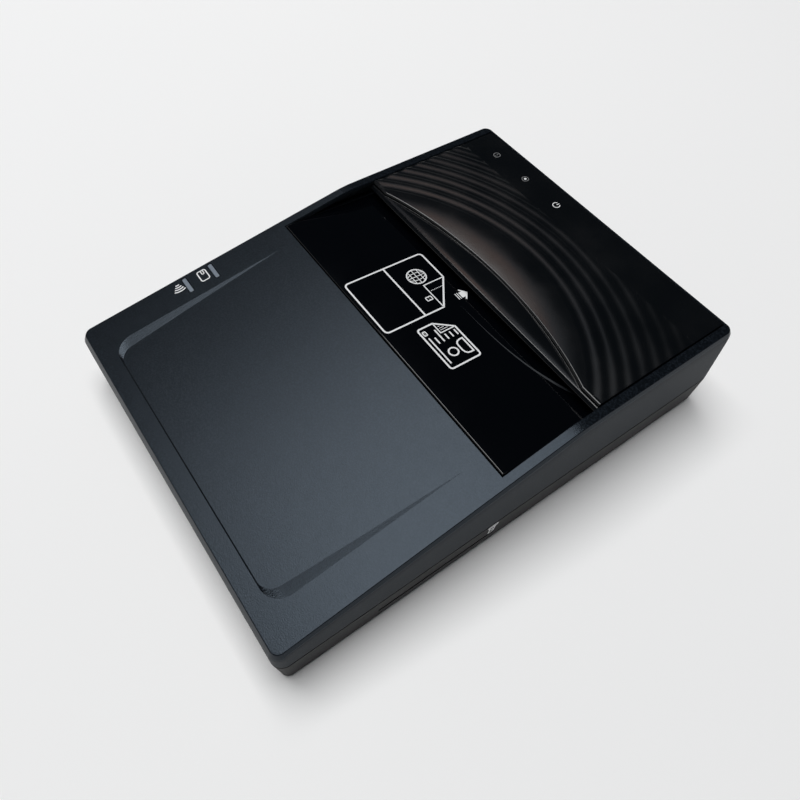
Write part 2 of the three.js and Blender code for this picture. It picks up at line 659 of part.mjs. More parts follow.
function bottomCover() {
  const top = BASE_HEIGHT - SEAM / 2;
  const shell = loft([
    deckRing(BELT_OUT - BASE_TAPER, () => 0),
    deckRing(BELT_OUT, () => top),
  ]);
  const hollow = loft([
    deckRing(BELT_OUT - BASE_TAPER - WALL, () => FLOOR),
    deckRing(BELT_OUT - WALL, () => top + OVER),
  ]);
  const doorway = slab(
    DOOR_X - DOOR_WIDTH / 2 - RUN,
    DOOR_X + DOOR_WIDTH / 2 + RUN,
    DOOR_FRONT - RUN,
    DOOR_FRONT + DOOR_LENGTH + RUN,
    -OVER,
    FLOOR + OVER,
  );
  const recesses = footPlaces().map(([x, y]) => (
    rod(FOOT_RADIUS + SEAT, x, y, -OVER, FOOT_RECESS, ROUND_STEPS)
  ));
  const sinks = casePlaces().flatMap(([x, y]) => [
    rod(CASE_HEAD_RADIUS + SEAT, x, y, -OVER, CASE_HEAD_TOP),
    rod(CASE_SHANK_RADIUS + SEAT, x, y, 0, BOSS_TOP + OVER),
  ]);
  const pilots = FLOOR_SCREWS.map(([x, y]) => (
    rod(SHANK_RADIUS + SEAT / 2, x, y, FLOOR, STANDOFF_TOP + OVER)
  ));
  const leverPin = rod(LEVER_PIN_RADIUS + LEVER_PIN_GAP, CARD_LEVER_X, CARD_LEVER_Y, FLOOR, BASE_HEIGHT);
  const cardSlot = slab(
    HALF_WIDTH - WALL - OVER,
    DECK_WIDTH,
    CARD_Y - CARD_SLOT_LENGTH / 2,
    CARD_Y + CARD_SLOT_LENGTH / 2,
    CARD_Z - CARD_SLOT_HEIGHT / 2,
    CARD_Z + CARD_SLOT_HEIGHT / 2,
  );
  const usb = slab(
    USB_X - USB_WIDTH / 2 - RUN,
    USB_X + USB_WIDTH / 2 + RUN,
    DECK_LENGTH - WALL - OVER,
    DECK_LENGTH + BELT_OUT + OVER,
    CARRIED + BOARD + SEAT - RUN,
    CARRIED + BOARD + SEAT + USB_HEIGHT + RUN,
  );
  const lock = slab(
    LOCK_X - LOCK_WIDTH / 2,
    LOCK_X + LOCK_WIDTH / 2,
    DECK_LENGTH - WALL - OVER,
    DECK_LENGTH + BELT_OUT + OVER,
    LOCK_Z - LOCK_HEIGHT / 2,
    LOCK_Z + LOCK_HEIGHT / 2,
  );
  const holes = [doorway, ...recesses, ...sinks, ...pilots, leverPin, cardSlot, usb, lock];
  const cover = join([cut(shell, [cut(hollow, bottomCoverRibs()), ...holes]), ...doorLugs()]);
  const span = KNUCKLE_WIDTH / 2 + RUN + LUG_WIDTH;
  const bore = rodAcross(
    DOOR_PIN_RADIUS + LEVER_PIN_GAP,
    DOOR_X - span - OVER,
    DOOR_X + span + OVER,
    AXLE_Y,
    KNUCKLE_RADIUS,
  );
  return cut(cover, [bore]);
}

// Hood with its finger scoop
function documentHood() {
  const outline = [
    [HOOD_FRONT, HOOD_FOOT],
    [HOOD_REAR, HOOD_FOOT],
    [HOOD_REAR, HOOD_HEIGHT],
    [HOOD_FRONT + LIP_SETBACK + HOOD_SETBACK, HOOD_HEIGHT],
    [HOOD_FRONT + LIP_SETBACK, HOOD_FOOT + LIP_THICKNESS],
  ];
  const radius = (SCOOP_HALF ** 2 + SCOOP_LENGTH ** 2) / (2 * SCOOP_LENGTH);
  const turn = Math.asin(SCOOP_HALF / radius);
  const arch = new THREE.Shape();
  arch.absarc(0, HOOD_SETBACK + SCOOP_LENGTH - radius, radius, QUARTER - turn, QUARTER + turn, false);
  arch.lineTo(-SCOOP_HALF, -LIP_SETBACK);
  arch.lineTo(SCOOP_HALF, -LIP_SETBACK);
  const scoopFront = HOOD_FRONT + LIP_SETBACK;
  const scoop = upright(arch, HOOD_FOOT + LIP_THICKNESS, HOOD_HEIGHT + OVER).translate(0, scoopFront, 0);
  const lights = Object.values(LIGHT_X).map((x) => (
    rod(LIGHT_RADIUS + SEAT / 2, x, LIGHT_Y, HOOD_FOOT - OVER, HOOD_HEIGHT + OVER, ROUND_STEPS)
  ));
  return cut(prism(outline, -HOOD_HALF, HOOD_HALF), [scoop, ...lights]);
}

function windowTape() {
  const half = WELL_HALF - LEDGE_WIDTH;
  return cut(
    slab(-WINDOW_HALF, WINDOW_HALF, 0, WINDOW_LENGTH, TAPE_GAP - LEDGE_DROP, -WINDOW_THICKNESS - TAPE_GAP),
    [slab(-half, half, LEDGE_WIDTH, WINDOW_LENGTH - LEDGE_WIDTH, -LEDGE_DROP, 0)],
  );
}

// Boards
function screwHoles(places, foot, top) {
  return places.map(([x, y]) => rod(SHANK_RADIUS + SEAT / 2, x, y, foot - OVER, top + OVER));
}

function board(left, right, front, rear, foot, screws) {
  return cut(slab(left, right, front, rear, foot, foot + BOARD), screwHoles(screws, foot, foot + BOARD));
}

function indicatorBoard() {
  const foot = INDICATOR_TOP - BOARD;
  const leds = Object.values(LIGHT_X).map((x) => slab(
    x - LED_SIZE / 2,
    x + LED_SIZE / 2,
    LIGHT_Y - LED_SIZE / 2,
    LIGHT_Y + LED_SIZE / 2,
    INDICATOR_TOP - BITE,
    INDICATOR_TOP + LED_HEIGHT,
  ));
  const front = LIGHT_Y - INDICATOR_DEPTH / 2 - LED_SIZE / 2;
  const left = LIGHT_X.error - INDICATOR_MARGIN;
  const right = LIGHT_X.power + INDICATOR_MARGIN;
  return join([board(left, right, front, front + INDICATOR_DEPTH, foot, INDICATOR_SCREWS), ...leds]);
}

function statusBoard() {
  const left = BAR_INSET - HALF_WIDTH;
  const middle = STATUS_SCREW[1];
  const foot = -STATUS_TOP - BOARD - LED_HEIGHT;
  const leds = Object.values(BAR_Y).map((y) => slab(
    left + BAR_LENGTH / 2 - LED_SIZE / 2,
    left + BAR_LENGTH / 2 + LED_SIZE / 2,
    y - LED_SIZE / 2,
    y + LED_SIZE / 2,
    foot + BOARD - BITE,
    -STATUS_TOP,
  ));
  const front = middle - STATUS_LENGTH / 2;
  const plate = board(left, left + STATUS_WIDTH, front, front + STATUS_LENGTH, foot, [STATUS_SCREW]);
  return join([plate, ...leds]);
}

function antennaBoard() {
  const foot = -TRAY_UNDERSIDE - SEAT - BOARD;
  const half = ANTENNA_WIDTH / 2;
  const middle = ANTENNA_FRONT + ANTENNA_LENGTH / 2;
  const notch = ANTENNA_LENGTH * ANTENNA_HOLE_SHARE / 2;
  const plate = board(-half, half, ANTENNA_FRONT, ANTENNA_FRONT + ANTENNA_LENGTH, foot, ANTENNA_SCREWS);
  return cut(plate, [
    slab(half - ANTENNA_SCREW_INSET, half + OVER, middle - notch, middle + notch, foot - OVER, 0),
  ]);
}

function lightBoard(front) {
  const foot = CHASSIS_TOP + SEAT;
  const half = CHASSIS_HALF - CHEEK;
  const middle = front + LIGHT_BOARD_WIDTH / 2;
  const pieces = [slab(-half, half, front, front + LIGHT_BOARD_WIDTH, foot, foot + BOARD)];
  for (let i = 0; i < LIGHT_COUNT; i += 1) {
    const x = 2 * half * ((i + 0.5) / LIGHT_COUNT - 0.5);
    pieces.push(slab(
      x - LED_SIZE / 2,
      x + LED_SIZE / 2,
      middle - LED_SIZE / 2,
      middle + LED_SIZE / 2,
      foot + BOARD - BITE,
      foot + BOARD + LED_HEIGHT,
    ));
  }
  return join(pieces);
}

// Chassis that holds the mirror and both light boards
function opticsChassis() {
  const neck = CHASSIS_FRONT + CHEEK_NECK;
  const cheek = [
    [neck, CARRIED],
    [CHASSIS_REAR, CARRIED],
    [CHASSIS_REAR, CHASSIS_TOP],
    [CHASSIS_FRONT, CHASSIS_TOP],
    [CHASSIS_FRONT, CHASSIS_TOP - SHELF_DEPTH],
    [neck, CHASSIS_TOP - CHEEK_NECK],
  ];
  const half = CHASSIS_HALF;
  const shelves = [CHASSIS_FRONT, CHASSIS_REAR - SHELF_WIDTH].map((front) => (
    slab(-half, half, front, front + SHELF_WIDTH, CHASSIS_TOP - SHELF_DEPTH, CHASSIS_TOP)
  ));
  const bedTop = -MIRROR_THICKNESS - SEAT;
  const bed = slab(-half, half, -MIRROR_LENGTH / 2, MIRROR_LENGTH / 2, bedTop - CHEEK, bedTop);
  bed.rotateX(QUARTER / 2).translate(0, MIRROR_Y, AXIS_HEIGHT);
  const tabs = [-half - TAB_WIDTH, half - BITE].map((left) => slab(
    left,
    left + TAB_WIDTH + BITE,
    MIRROR_Y - TAB_LENGTH / 2,
    MIRROR_Y + TAB_LENGTH / 2,
    CARRIED,
    CARRIED + BOARD,
  ));
  const cheeks = [prism(cheek, half - CHEEK, half), prism(cheek, -half, CHEEK - half)];
  const body = join([...cheeks, bed, ...shelves, ...tabs]);
  const room = slab(-DECK_WIDTH, DECK_WIDTH, 0, DECK_LENGTH, -DECK_LENGTH, CARRIED);
  return cut(body, [room, ...screwHoles(CHASSIS_SCREWS, CARRIED, CARRIED + BOARD)]);
}

function foldMirror() {
  const half = CHASSIS_HALF - CHEEK - SEAT;
  return slab(-half, half, -MIRROR_LENGTH / 2, MIRROR_LENGTH / 2, -MIRROR_THICKNESS, 0);
}

// Camera
function cameraBracket() {
  const half = BRACKET_WIDTH / 2;
  const top = AXIS_HEIGHT + CAMERA_BOARD_HALF_HEIGHT;
  const body = join([
    slab(-half, half, BRACKET_FRONT, BRACKET_FRONT + BRACKET_LENGTH, CARRIED, CARRIED + BOARD),
    slab(-half, half, BRACKET_FRONT, BRACKET_FRONT + CHEEK, CARRIED, top),
  ]);
  return cut(body, screwHoles(BRACKET_SCREWS, CARRIED, CARRIED + BOARD));
}

function cameraBoard() {
  const half = CAMERA_BOARD_WIDTH / 2;
  const front = BRACKET_FRONT + CHEEK + SEAT;
  const rise = CAMERA_BOARD_HALF_HEIGHT;
  return slab(-half, half, front, front + BOARD, AXIS_HEIGHT - rise, AXIS_HEIGHT + rise);
}

function lensBarrel() {
  const half = BARREL_BLOCK / 2;
  const front = BRACKET_FRONT + CHEEK + BOARD + 2 * SEAT;
  const rear = front + BARREL_LENGTH;
  const body = join([
    slab(-half, half, front, front + BARREL_BLOCK_DEPTH, AXIS_HEIGHT - half, AXIS_HEIGHT + half),
    rodBack(BARREL_RADIUS, 0, front, rear, AXIS_HEIGHT),
  ]);
  return cut(body, [rodBack(LENS_RADIUS + SEAT / 2, 0, front + BOARD, rear + OVER, AXIS_HEIGHT)]);
}

function cameraLens() {
  const rear = BRACKET_FRONT + CHEEK + BOARD + 2 * SEAT + BARREL_LENGTH - LENS_INSET;
  return rodBack(LENS_RADIUS, 0, rear - LENS_THICKNESS, rear, AXIS_HEIGHT);
}

// Chip-card connector with the way in for its lever
function cardConnector() {
  const half = CARD_CHANNEL / 2 + CONNECTOR_WALL;
  const foot = FLOOR + SEAT;
  const body = slab(CONNECTOR_LEFT, CONNECTOR_RIGHT, CARD_Y - half, CARD_Y + half, foot, CONNECTOR_TOP);
  const channel = slab(
    CONNECTOR_LEFT + CONNECTOR_END,
    CONNECTOR_RIGHT + OVER,
    CARD_Y - CARD_CHANNEL / 2,
    CARD_Y + CARD_CHANNEL / 2,
    CARD_Z - CARD_CHANNEL_HEIGHT / 2,
    CARD_Z + CARD_CHANNEL_HEIGHT / 2,
  );
  const start = THREE.MathUtils.degToRad(CARD_LEVER_ANGLE);
  const end = THREE.MathUtils.degToRad(CARD_LEVER_ANGLE + CARD_LEVER_SWING);
  const gate = slab(
    CONNECTOR_LEFT - OVER,
    CARD_LEVER_X + LEVER_REACH * Math.cos(start) + TIP_RADIUS + RUN,
    CARD_LEVER_Y + CARD_LEVER_OFFSET * Math.tan(start) - HUB_RADIUS - RUN,
    CARD_LEVER_Y + LEVER_REACH * Math.sin(end) + TIP_RADIUS + RUN,
    CARD_LEVER_FOOT - RUN,
    CARD_LEVER_FOOT + LEVER_THICKNESS + RUN,
  );
  return cut(body, [channel, gate]);
}

// Lever that points along X from its pin, lying on z = 0
function lever() {
  const lean = Math.acos((HUB_RADIUS - TIP_RADIUS) / LEVER_REACH);
  const outline = new THREE.Shape();
  outline.absarc(0, 0, HUB_RADIUS, lean, -lean, false);
  outline.absarc(LEVER_REACH, 0, TIP_RADIUS, -lean, lean, false);
  const body = upright(outline, 0, LEVER_THICKNESS);
  return cut(body, [rod(LEVER_PIN_RADIUS + LEVER_PIN_GAP, 0, 0, -OVER, LEVER_THICKNESS + OVER)]);
}

// Cover over the secure-module socket
function moduleDoor() {
  const rear = DOOR_FRONT + DOOR_LENGTH;
  const plateFront = AXLE_Y + KNUCKLE_RADIUS + 2 * RUN;
  const left = DOOR_X - KNUCKLE_WIDTH / 2;
  const right = DOOR_X + KNUCKLE_WIDTH / 2;
  const body = join([
    slab(DOOR_X - DOOR_WIDTH / 2, DOOR_X + DOOR_WIDTH / 2, plateFront, rear, 0, DOOR_THICKNESS),
    slab(left, right, AXLE_Y, plateFront + BITE, 0, DOOR_THICKNESS),
    rodAcross(KNUCKLE_RADIUS, left, right, AXLE_Y, KNUCKLE_RADIUS),
  ]);
  return cut(body, [
    rodAcross(DOOR_PIN_RADIUS + LEVER_PIN_GAP, left - OVER, right + OVER, AXLE_Y, KNUCKLE_RADIUS),
  ]);
}

function moduleDoorPin() {
  const span = KNUCKLE_WIDTH / 2 + RUN + LUG_WIDTH;
  return rodAcross(DOOR_PIN_RADIUS, DOOR_X - span, DOOR_X + span, AXLE_Y, KNUCKLE_RADIUS);
}

function moduleSocket() {
  const front = DOOR_FRONT + DOOR_LENGTH / 2 - MODULE_LENGTH / 2;
  const left = DOOR_X - MODULE_WIDTH / 2;
  const top = CARRIED - SEAT;
  const middle = top - MODULE_HEIGHT / 2;
  const body = slab(left, left + MODULE_WIDTH, front, front + MODULE_LENGTH, top - MODULE_HEIGHT, top);
  const slot = slab(
    left + CHEEK,
    left + MODULE_WIDTH - CHEEK,
    front + CHEEK,
    front + MODULE_LENGTH + OVER,
    middle - MODULE_SLOT / 2,
    middle + MODULE_SLOT / 2,
  );
  return cut(body, [slot]);
}

// Small parts on the boards
function shieldCan() {
  const foot = CARRIED + BOARD + SEAT;
  const left = SHIELD_X - SHIELD_WIDTH / 2;
  const front = (MAIN_FRONT + MAIN_REAR - SHIELD_DEPTH) / 2;
  const sheet = SHIELD_SHEET;
  return cut(slab(left, left + SHIELD_WIDTH, front, front + SHIELD_DEPTH, foot, foot + SHIELD_HEIGHT), [
    slab(
      left + sheet,
      left + SHIELD_WIDTH - sheet,
      front + sheet,
      front + SHIELD_DEPTH - sheet,
      foot - OVER,
      foot + SHIELD_HEIGHT - sheet,
    ),
  ]);
}

function chip(x, y, size) {
  const foot = CARRIED + BOARD + SEAT;
  return slab(x - size / 2, x + size / 2, y - size / 2, y + size / 2, foot, foot + CHIP_HEIGHT);
}

function buzzer() {
  const foot = CARRIED + BOARD + SEAT;
  const x = READER_LEFT + READER_WIDTH / 2;
  const top = foot + BUZZER_HEIGHT;
  return cut(rod(BUZZER_RADIUS, x, BUZZER_Y, foot, top, ROUND_STEPS), [
    rod(BUZZER_HOLE, x, BUZZER_Y, top - BUZZER_HOLE, top + OVER),
  ]);
}

function usbSocket() {
  const foot = CARRIED + BOARD + SEAT;
  const half = USB_WIDTH / 2;
  const rear = DECK_LENGTH;
  return cut(slab(USB_X - half, USB_X + half, rear - USB_DEPTH, rear, foot, foot + USB_HEIGHT), [
    slab(
      USB_X - half + USB_SHEET,
      USB_X + half - USB_SHEET,
      rear - USB_HOLE_DEPTH,
      rear + OVER,
      foot + USB_SHEET,
      foot + USB_HEIGHT - USB_SHEET,
    ),
  ]);
}

// Screw with its head above z = 0 and its shank below
function screw(headRadius, headHeight, shankRadius, shankLength) {
  const width = headRadius * RECESS_WIDTH_SHARE;
  const length = headRadius * RECESS_LENGTH_SHARE;
  const depth = headHeight * RECESS_DEPTH_SHARE;
  const body = join([
    rod(headRadius, 0, 0, 0, headHeight),
    rod(shankRadius, 0, 0, -shankLength, depth / 2),
  ]);
  return cut(body, [
    slab(-width / 2, width / 2, -length / 2, length / 2, headHeight - depth, headHeight + OVER),
    slab(-length / 2, length / 2, -width / 2, width / 2, headHeight - depth, headHeight + OVER),
  ]);
}

// Assembly
const reader = new THREE.Group();
reader.position.set(0, -DECK_LENGTH / 2, FOOT_PROUD);

const deck = new THREE.Group();
deck.position.set(0, 0, FRONT_HEIGHT);
deck.rotation.x = DECK_SLOPE;
reader.add(deck);

const pane = new THREE.Group();
pane.position.set(0, WINDOW_FRONT, WINDOW_HEIGHT);
pane.rotation.x = -WINDOW_SLOPE;
reader.add(pane);

function add(parent, name, geometry, material) {
  const flat = geometry.index ? geometry.toNonIndexed() : geometry;
  flat.computeVertexNormals();
  const mesh = new THREE.Mesh(flat, material);
  mesh.name = name;
  parent.add(mesh);
  return mesh;
}

function addScrews(parent, name, places, geometry, seat, upsideDown = false) {
  places.forEach(([x, y], i) => {
    const mesh = add(parent, places.length > 1 ? `${name}_${i + 1}` : name, geometry, steel);
    mesh.position.set(x, y, seat);
    mesh.rotation.x = upsideDown ? Math.PI : 0;
  });
}

function addCovers() {
  add(reader, 'top_cover', topCover(), deckPlastic);
  add(reader, 'bottom_cover', bottomCover(), basePlastic);
  add(reader, 'document_hood', documentHood(), hoodBlack);
  const glass = slab(-WINDOW_HALF, WINDOW_HALF, 0, WINDOW_LENGTH, -WINDOW_THICKNESS, 0);
  add(pane, 'scan_window', glass, glossBlack);
  add(pane, 'window_tape', windowTape(), foam);
  footPlaces().forEach(([x, y], i) => {
    const foot = rod(FOOT_RADIUS, x, y, -FOOT_PROUD, FOOT_RECESS - SEAT, ROUND_STEPS);
    add(reader, `foot_${i + 1}`, foot, rubber);
  });
}

function addLights() {
  const foot = INDICATOR_TOP + LED_HEIGHT + SEAT;
  for (const [name, x] of Object.entries(LIGHT_X)) {
    const guide = rod(LIGHT_RADIUS, x, LIGHT_Y, foot, HOOD_HEIGHT, ROUND_STEPS);
    add(reader, `${name}_light_guide`, guide, frosted);
  }
  for (const [name, y] of Object.entries(BAR_Y)) {
    const left = BAR_INSET - HALF_WIDTH;
    const bar = slab(left, left + BAR_LENGTH, y - BAR_WIDTH / 2, y + BAR_WIDTH / 2, -BAR_DEPTH, 0);
    add(deck, `${name}_light_bar`, bar, frosted);
  }
  add(reader, 'indicator_board', indicatorBoard(), boardGreen);
  add(deck, 'status_board', statusBoard(), boardGreen);
}

function addBoards() {
  const mainMiddle = (MAIN_FRONT + MAIN_REAR) / 2;
  const readerRear = READER_FRONT + READER_LENGTH;
  const readerRight = READER_LEFT + READER_WIDTH;
  const middle = (READER_LEFT + readerRight) / 2;
  const mainBoard = board(-MAIN_HALF, MAIN_HALF, MAIN_FRONT, MAIN_REAR, CARRIED, MAIN_SCREWS);
  const readerBoard = board(READER_LEFT, readerRight, READER_FRONT, readerRear, CARRIED, READER_SCREWS);
  add(reader, 'main_board', mainBoard, boardGreen);
  add(reader, 'processor', chip(CHIP_X, mainMiddle, CHIP_SIZE), chipBlack);
  add(reader, 'shield_can', shieldCan(), steel);
  add(reader, 'usb_socket', usbSocket(), steel);
  add(reader, 'reader_board', readerBoard, boardGreen);
  add(reader, 'reader_chip', chip(middle, READER_CHIP_Y, READER_CHIP_SIZE), chipBlack);
  add(reader, 'buzzer', buzzer(), chipBlack);
  add(reader, 'module_socket', moduleSocket(), innerPlastic);
  add(deck, 'antenna_board', antennaBoard(), boardGreen);
  addFerrite();
}

function addFerrite() {
  const half = ANTENNA_WIDTH * FERRITE_SHARE / 2;
  const top = -TRAY_UNDERSIDE - BOARD - 2 * SEAT;
  const rear = ANTENNA_FRONT + ANTENNA_LENGTH * FERRITE_SHARE;
  add(deck, 'ferrite_sheet', slab(-half, half, ANTENNA_FRONT, rear, top - FERRITE_THICKNESS, top), ferrite);
}

function addOptics() {
  add(reader, 'optics_chassis', opticsChassis(), innerPlastic);
  const mirror = add(reader, 'fold_mirror', foldMirror(), mirrorGlass);
  mirror.position.set(0, MIRROR_Y, AXIS_HEIGHT);
  mirror.rotation.x = QUARTER / 2;
  const inset = (SHELF_WIDTH - LIGHT_BOARD_WIDTH) / 2;
  add(reader, 'front_light_board', lightBoard(CHASSIS_FRONT + inset), boardGreen);
  add(reader, 'rear_light_board', lightBoard(CHASSIS_REAR - SHELF_WIDTH + inset), boardGreen);
  add(reader, 'camera_bracket', cameraBracket(), steel);
  add(reader, 'camera_board', cameraBoard(), boardGreen);
  add(reader, 'lens_barrel', lensBarrel(), chipBlack);
  add(reader, 'camera_lens', cameraLens(), lensGlass);
}

function addMovingPieces() {
  add(reader, 'card_connector', cardConnector(), innerPlastic);
  const cardLever = add(reader, 'card_switch_lever', lever(), innerPlastic);
  cardLever.position.set(CARD_LEVER_X, CARD_LEVER_Y, CARD_LEVER_FOOT);
  cardLever.rotation.z = THREE.MathUtils.degToRad(CARD_LEVER_ANGLE);
  const pinTop = CARD_LEVER_FOOT + LEVER_THICKNESS + RUN;
  const cardPin = rod(LEVER_PIN_RADIUS, CARD_LEVER_X, CARD_LEVER_Y, FLOOR + SEAT, pinTop);
  add(reader, 'card_lever_pin', cardPin, steel);
  const flag = add(reader, 'document_flag', lever(), innerPlastic);
  flag.position.set(FLAG_X, FLAG_Y, FLAG_FOOT);
  flag.rotation.z = THREE.MathUtils.degToRad(FLAG_ANGLE);
  const flagPinTop = SHELF_FOOT + SHELF_THICKNESS / 2 - SEAT;
  const flagPin = rod(LEVER_PIN_RADIUS, FLAG_X, FLAG_Y, FLAG_FOOT - RUN, flagPinTop);
  add(reader, 'document_flag_pin', flagPin, steel);
  add(reader, 'module_door', moduleDoor(), basePlastic);
  add(reader, 'module_door_pin', moduleDoorPin(), steel);
}

function addFasteners() {
  const long = screw(HEAD_RADIUS, HEAD_HEIGHT, SHANK_RADIUS, SHANK_LENGTH);
  const short = screw(HEAD_RADIUS, HEAD_HEIGHT, SHANK_RADIUS, SHORT_SHANK_LENGTH);
  const large = screw(CASE_HEAD_RADIUS, CASE_HEAD_HEIGHT, CASE_SHANK_RADIUS, CASE_SHANK_LENGTH);
  const onBoard = CARRIED + BOARD + SEAT;
  addScrews(reader, 'case_screw', casePlaces(), large, CASE_HEAD_TOP - SEAT, true);
  addScrews(reader, 'main_board_screw', MAIN_SCREWS, long, onBoard);
  addScrews(reader, 'reader_board_screw', READER_SCREWS, long, onBoard);
  addScrews(reader, 'chassis_screw', CHASSIS_SCREWS, long, onBoard);
  addScrews(reader, 'bracket_screw', BRACKET_SCREWS, long, onBoard);
  addScrews(reader, 'indicator_screw', INDICATOR_SCREWS, short, INDICATOR_TOP - BOARD - SEAT, true);
  addScrews(deck, 'antenna_screw', ANTENNA_SCREWS, short, -TRAY_UNDERSIDE - BOARD - 2 * SEAT, true);
  addScrews(deck, 'status_screw', [STATUS_SCREW], short, -STATUS_TOP - LED_HEIGHT - BOARD - SEAT, true);
}

addCovers();
addLights();
addBoards();
addOptics();
addMovingPieces();
addFasteners();

export default reader;
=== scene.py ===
"""Looks of the desktop passport reader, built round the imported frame. Metres, +Z up, front edge towards -Y.

Places are given in the case's own frame: x from the middle line, y from the deck's front edge
and z from the underside of the bottom cover. CASE moves them into the frame of the part.
"""

import json
import math

import bmesh
import bpy
from mathutils import Matrix, Vector

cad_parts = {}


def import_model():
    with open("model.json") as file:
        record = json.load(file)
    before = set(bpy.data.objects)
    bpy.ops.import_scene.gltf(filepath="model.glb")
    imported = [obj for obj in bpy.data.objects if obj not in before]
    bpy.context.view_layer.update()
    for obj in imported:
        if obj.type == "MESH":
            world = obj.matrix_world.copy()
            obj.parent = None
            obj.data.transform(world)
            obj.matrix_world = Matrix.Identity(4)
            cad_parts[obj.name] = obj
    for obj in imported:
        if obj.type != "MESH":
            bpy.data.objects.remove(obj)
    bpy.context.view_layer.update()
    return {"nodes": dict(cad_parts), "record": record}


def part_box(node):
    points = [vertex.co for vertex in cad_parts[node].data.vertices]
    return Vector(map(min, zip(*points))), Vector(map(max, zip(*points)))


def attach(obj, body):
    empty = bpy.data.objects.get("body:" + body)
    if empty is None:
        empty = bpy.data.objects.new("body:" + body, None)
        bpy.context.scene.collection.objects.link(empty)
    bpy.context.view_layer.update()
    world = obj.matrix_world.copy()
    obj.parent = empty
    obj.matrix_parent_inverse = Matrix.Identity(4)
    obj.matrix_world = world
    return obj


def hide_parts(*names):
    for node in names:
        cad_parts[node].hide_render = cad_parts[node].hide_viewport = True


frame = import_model()

MM = 0.001
QUARTER = math.pi / 2
OVER = 1 * MM  # overrun of every cut

# Sizes read from the frame
BELT = 1.5 * MM  # how far the parting line stands out from the deck edge
top_low, top_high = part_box("top_cover")
base_low, base_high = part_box("bottom_cover")
hood_low, hood_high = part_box("document_hood")
CASE = Matrix.Translation((0, top_low.y + BELT, base_low.z))
DECK_HALF = top_high.x - BELT
DECK_LENGTH = top_high.y - top_low.y - 2 * BELT
PARTING_TOP = 17.95 * MM
LEVEL = top_high.z - base_low.z
HOOD_HALF = hood_high.x
HOOD_LIP = hood_low.y - top_low.y - BELT
HOOD_REAR = hood_high.y - top_low.y - BELT
HOOD_FOOT = hood_low.z - base_low.z

# Top cover
FRONT_HEIGHT = 29.6 * MM
KINK = DECK_LENGTH - 90.4 * MM
KINK_SOFTNESS = 5 * MM
BEND_ROWS = [KINK + KINK_SOFTNESS * share / 3 for share in range(-4, 5)]
DECK_SLOPE = math.atan((LEVEL - FRONT_HEIGHT) / KINK)
DECK_RADIUS = 3.5 * MM
CREASE = 26.4 * MM  # faint line along the walls
CREASE_OUT = 1.4 * MM
SHOULDER_OUT = 1.2 * MM
SHOULDER_DROP = 2.3 * MM
DECK_MARGIN = 2 * MM
WALL = 2.2 * MM
CORNER_STEPS = 24
FILLET_STEPS = 10
TRAY_HALF = 70 * MM
TRAY_FRONT = 7.5 * MM
TRAY_REAR = 92 * MM
TRAY_DEPTH = 0.62 * MM
TRAY_BEVEL = 5.3 * MM
TRAY_FRONT_BEVEL = 0.5 * MM
TRAY_RADIUS = 9 * MM
FLOOR_TILT = 1.5  # degrees from the deck, up to which a face counts as level
BEVEL_TILT = 4.5  # degrees from the deck, from which it counts as the tray's side

# Scan window and its well
GAP = 0.3 * MM
WELL_HALF = 80.7 * MM
WINDOW_FRONT = 100.5 * MM
WINDOW_LENGTH = 87.6 * MM
WINDOW_HALF = WELL_HALF - GAP
WINDOW_DROP = 5.54 * MM
WINDOW_THICKNESS = 2 * MM
WINDOW_PROUD = 0.58 * MM
WINDOW_SLOPE = math.asin(WINDOW_DROP / WINDOW_LENGTH)
WINDOW_HEIGHT = FRONT_HEIGHT + math.tan(DECK_SLOPE) * WINDOW_FRONT + WINDOW_PROUD
WINDOW_REAR = WINDOW_FRONT + WINDOW_LENGTH * math.cos(WINDOW_SLOPE)
WINDOW_CHAMFER = 0.45 * MM
WINDOW_CORNER = 0.3 * MM
LEDGE_DROP = 2.7 * MM
LEDGE_WIDTH = 2 * MM
LEDGE_THICKNESS = 1.6 * MM
SKIRT = 1.8 * MM
POCKET_FLOOR = 46.5 * MM
SHELF_FOOT = 44.3 * MM
GUIDE_HALF = 66 * MM
GUIDE_FRONT = 155 * MM
EDGE_BREAK = 0.35 * MM
EDGE_RISE = 0.01 * MM  # how far the cutter of a broken edge starts above the surface

# Document hood
LIP_HEIGHT = 1.3 * MM
LIP_EDGE = (0.09 * MM, 0.2 * MM)  # low upright edge below the lip's slope of 45 degrees
LIP_ROUND = 0.6 * MM
LIP_STEPS = 8
RIM_SETBACK = 2.6 * MM  # from the lip's upper edge to the level top beside the scoop
BROW_ROUND = 1.0 * MM
BROW_STEPS = 14
FOOT_ROUND = 0.15 * MM
FOOT_STEPS = 4
ARCH_HALF = 70 * MM
ARCH_RISE = 12.1 * MM
SCOOP_WALL = 0.2 * MM
SCOOP_GLOW = 0.34 * MM  # rise of the scoop's floor behind the lip
SCOOP_GLOW_LENGTH = 2.2 * MM
SCOOP_FALL = 0.9 * MM  # its fall towards the wall where the scoop is longest
SCOOP_STEPS = 18
DISH = 1.4 * MM
DISH_WIDTH = 14.8 * MM
DISH_FADE = 1.7
DISH_STEPS = 16
DISH_STEP_GROWTH = 1.5
WAVE_CENTRE = 77.85 * MM
WAVE_START = 99.5 * MM
WAVE_PITCH = 6.4 * MM
WAVE_VALLEY = 104.56 * MM
WAVE_RISE = 0.62  # share of the pitch on the flank that faces forwards
WAVE_DEPTH = 0.3 * MM
WAVE_STEPS = 110
STRIP_FRONT = 206.2 * MM
STRIP_STEP = 0.02 * MM
STRIP_LEVEL = LEVEL - WAVE_DEPTH
HOOD_COLUMNS = 260
HOOD_EDGE = 0.3 * MM
HOOD_EDGE_MIDDLE = 0.08 * MM

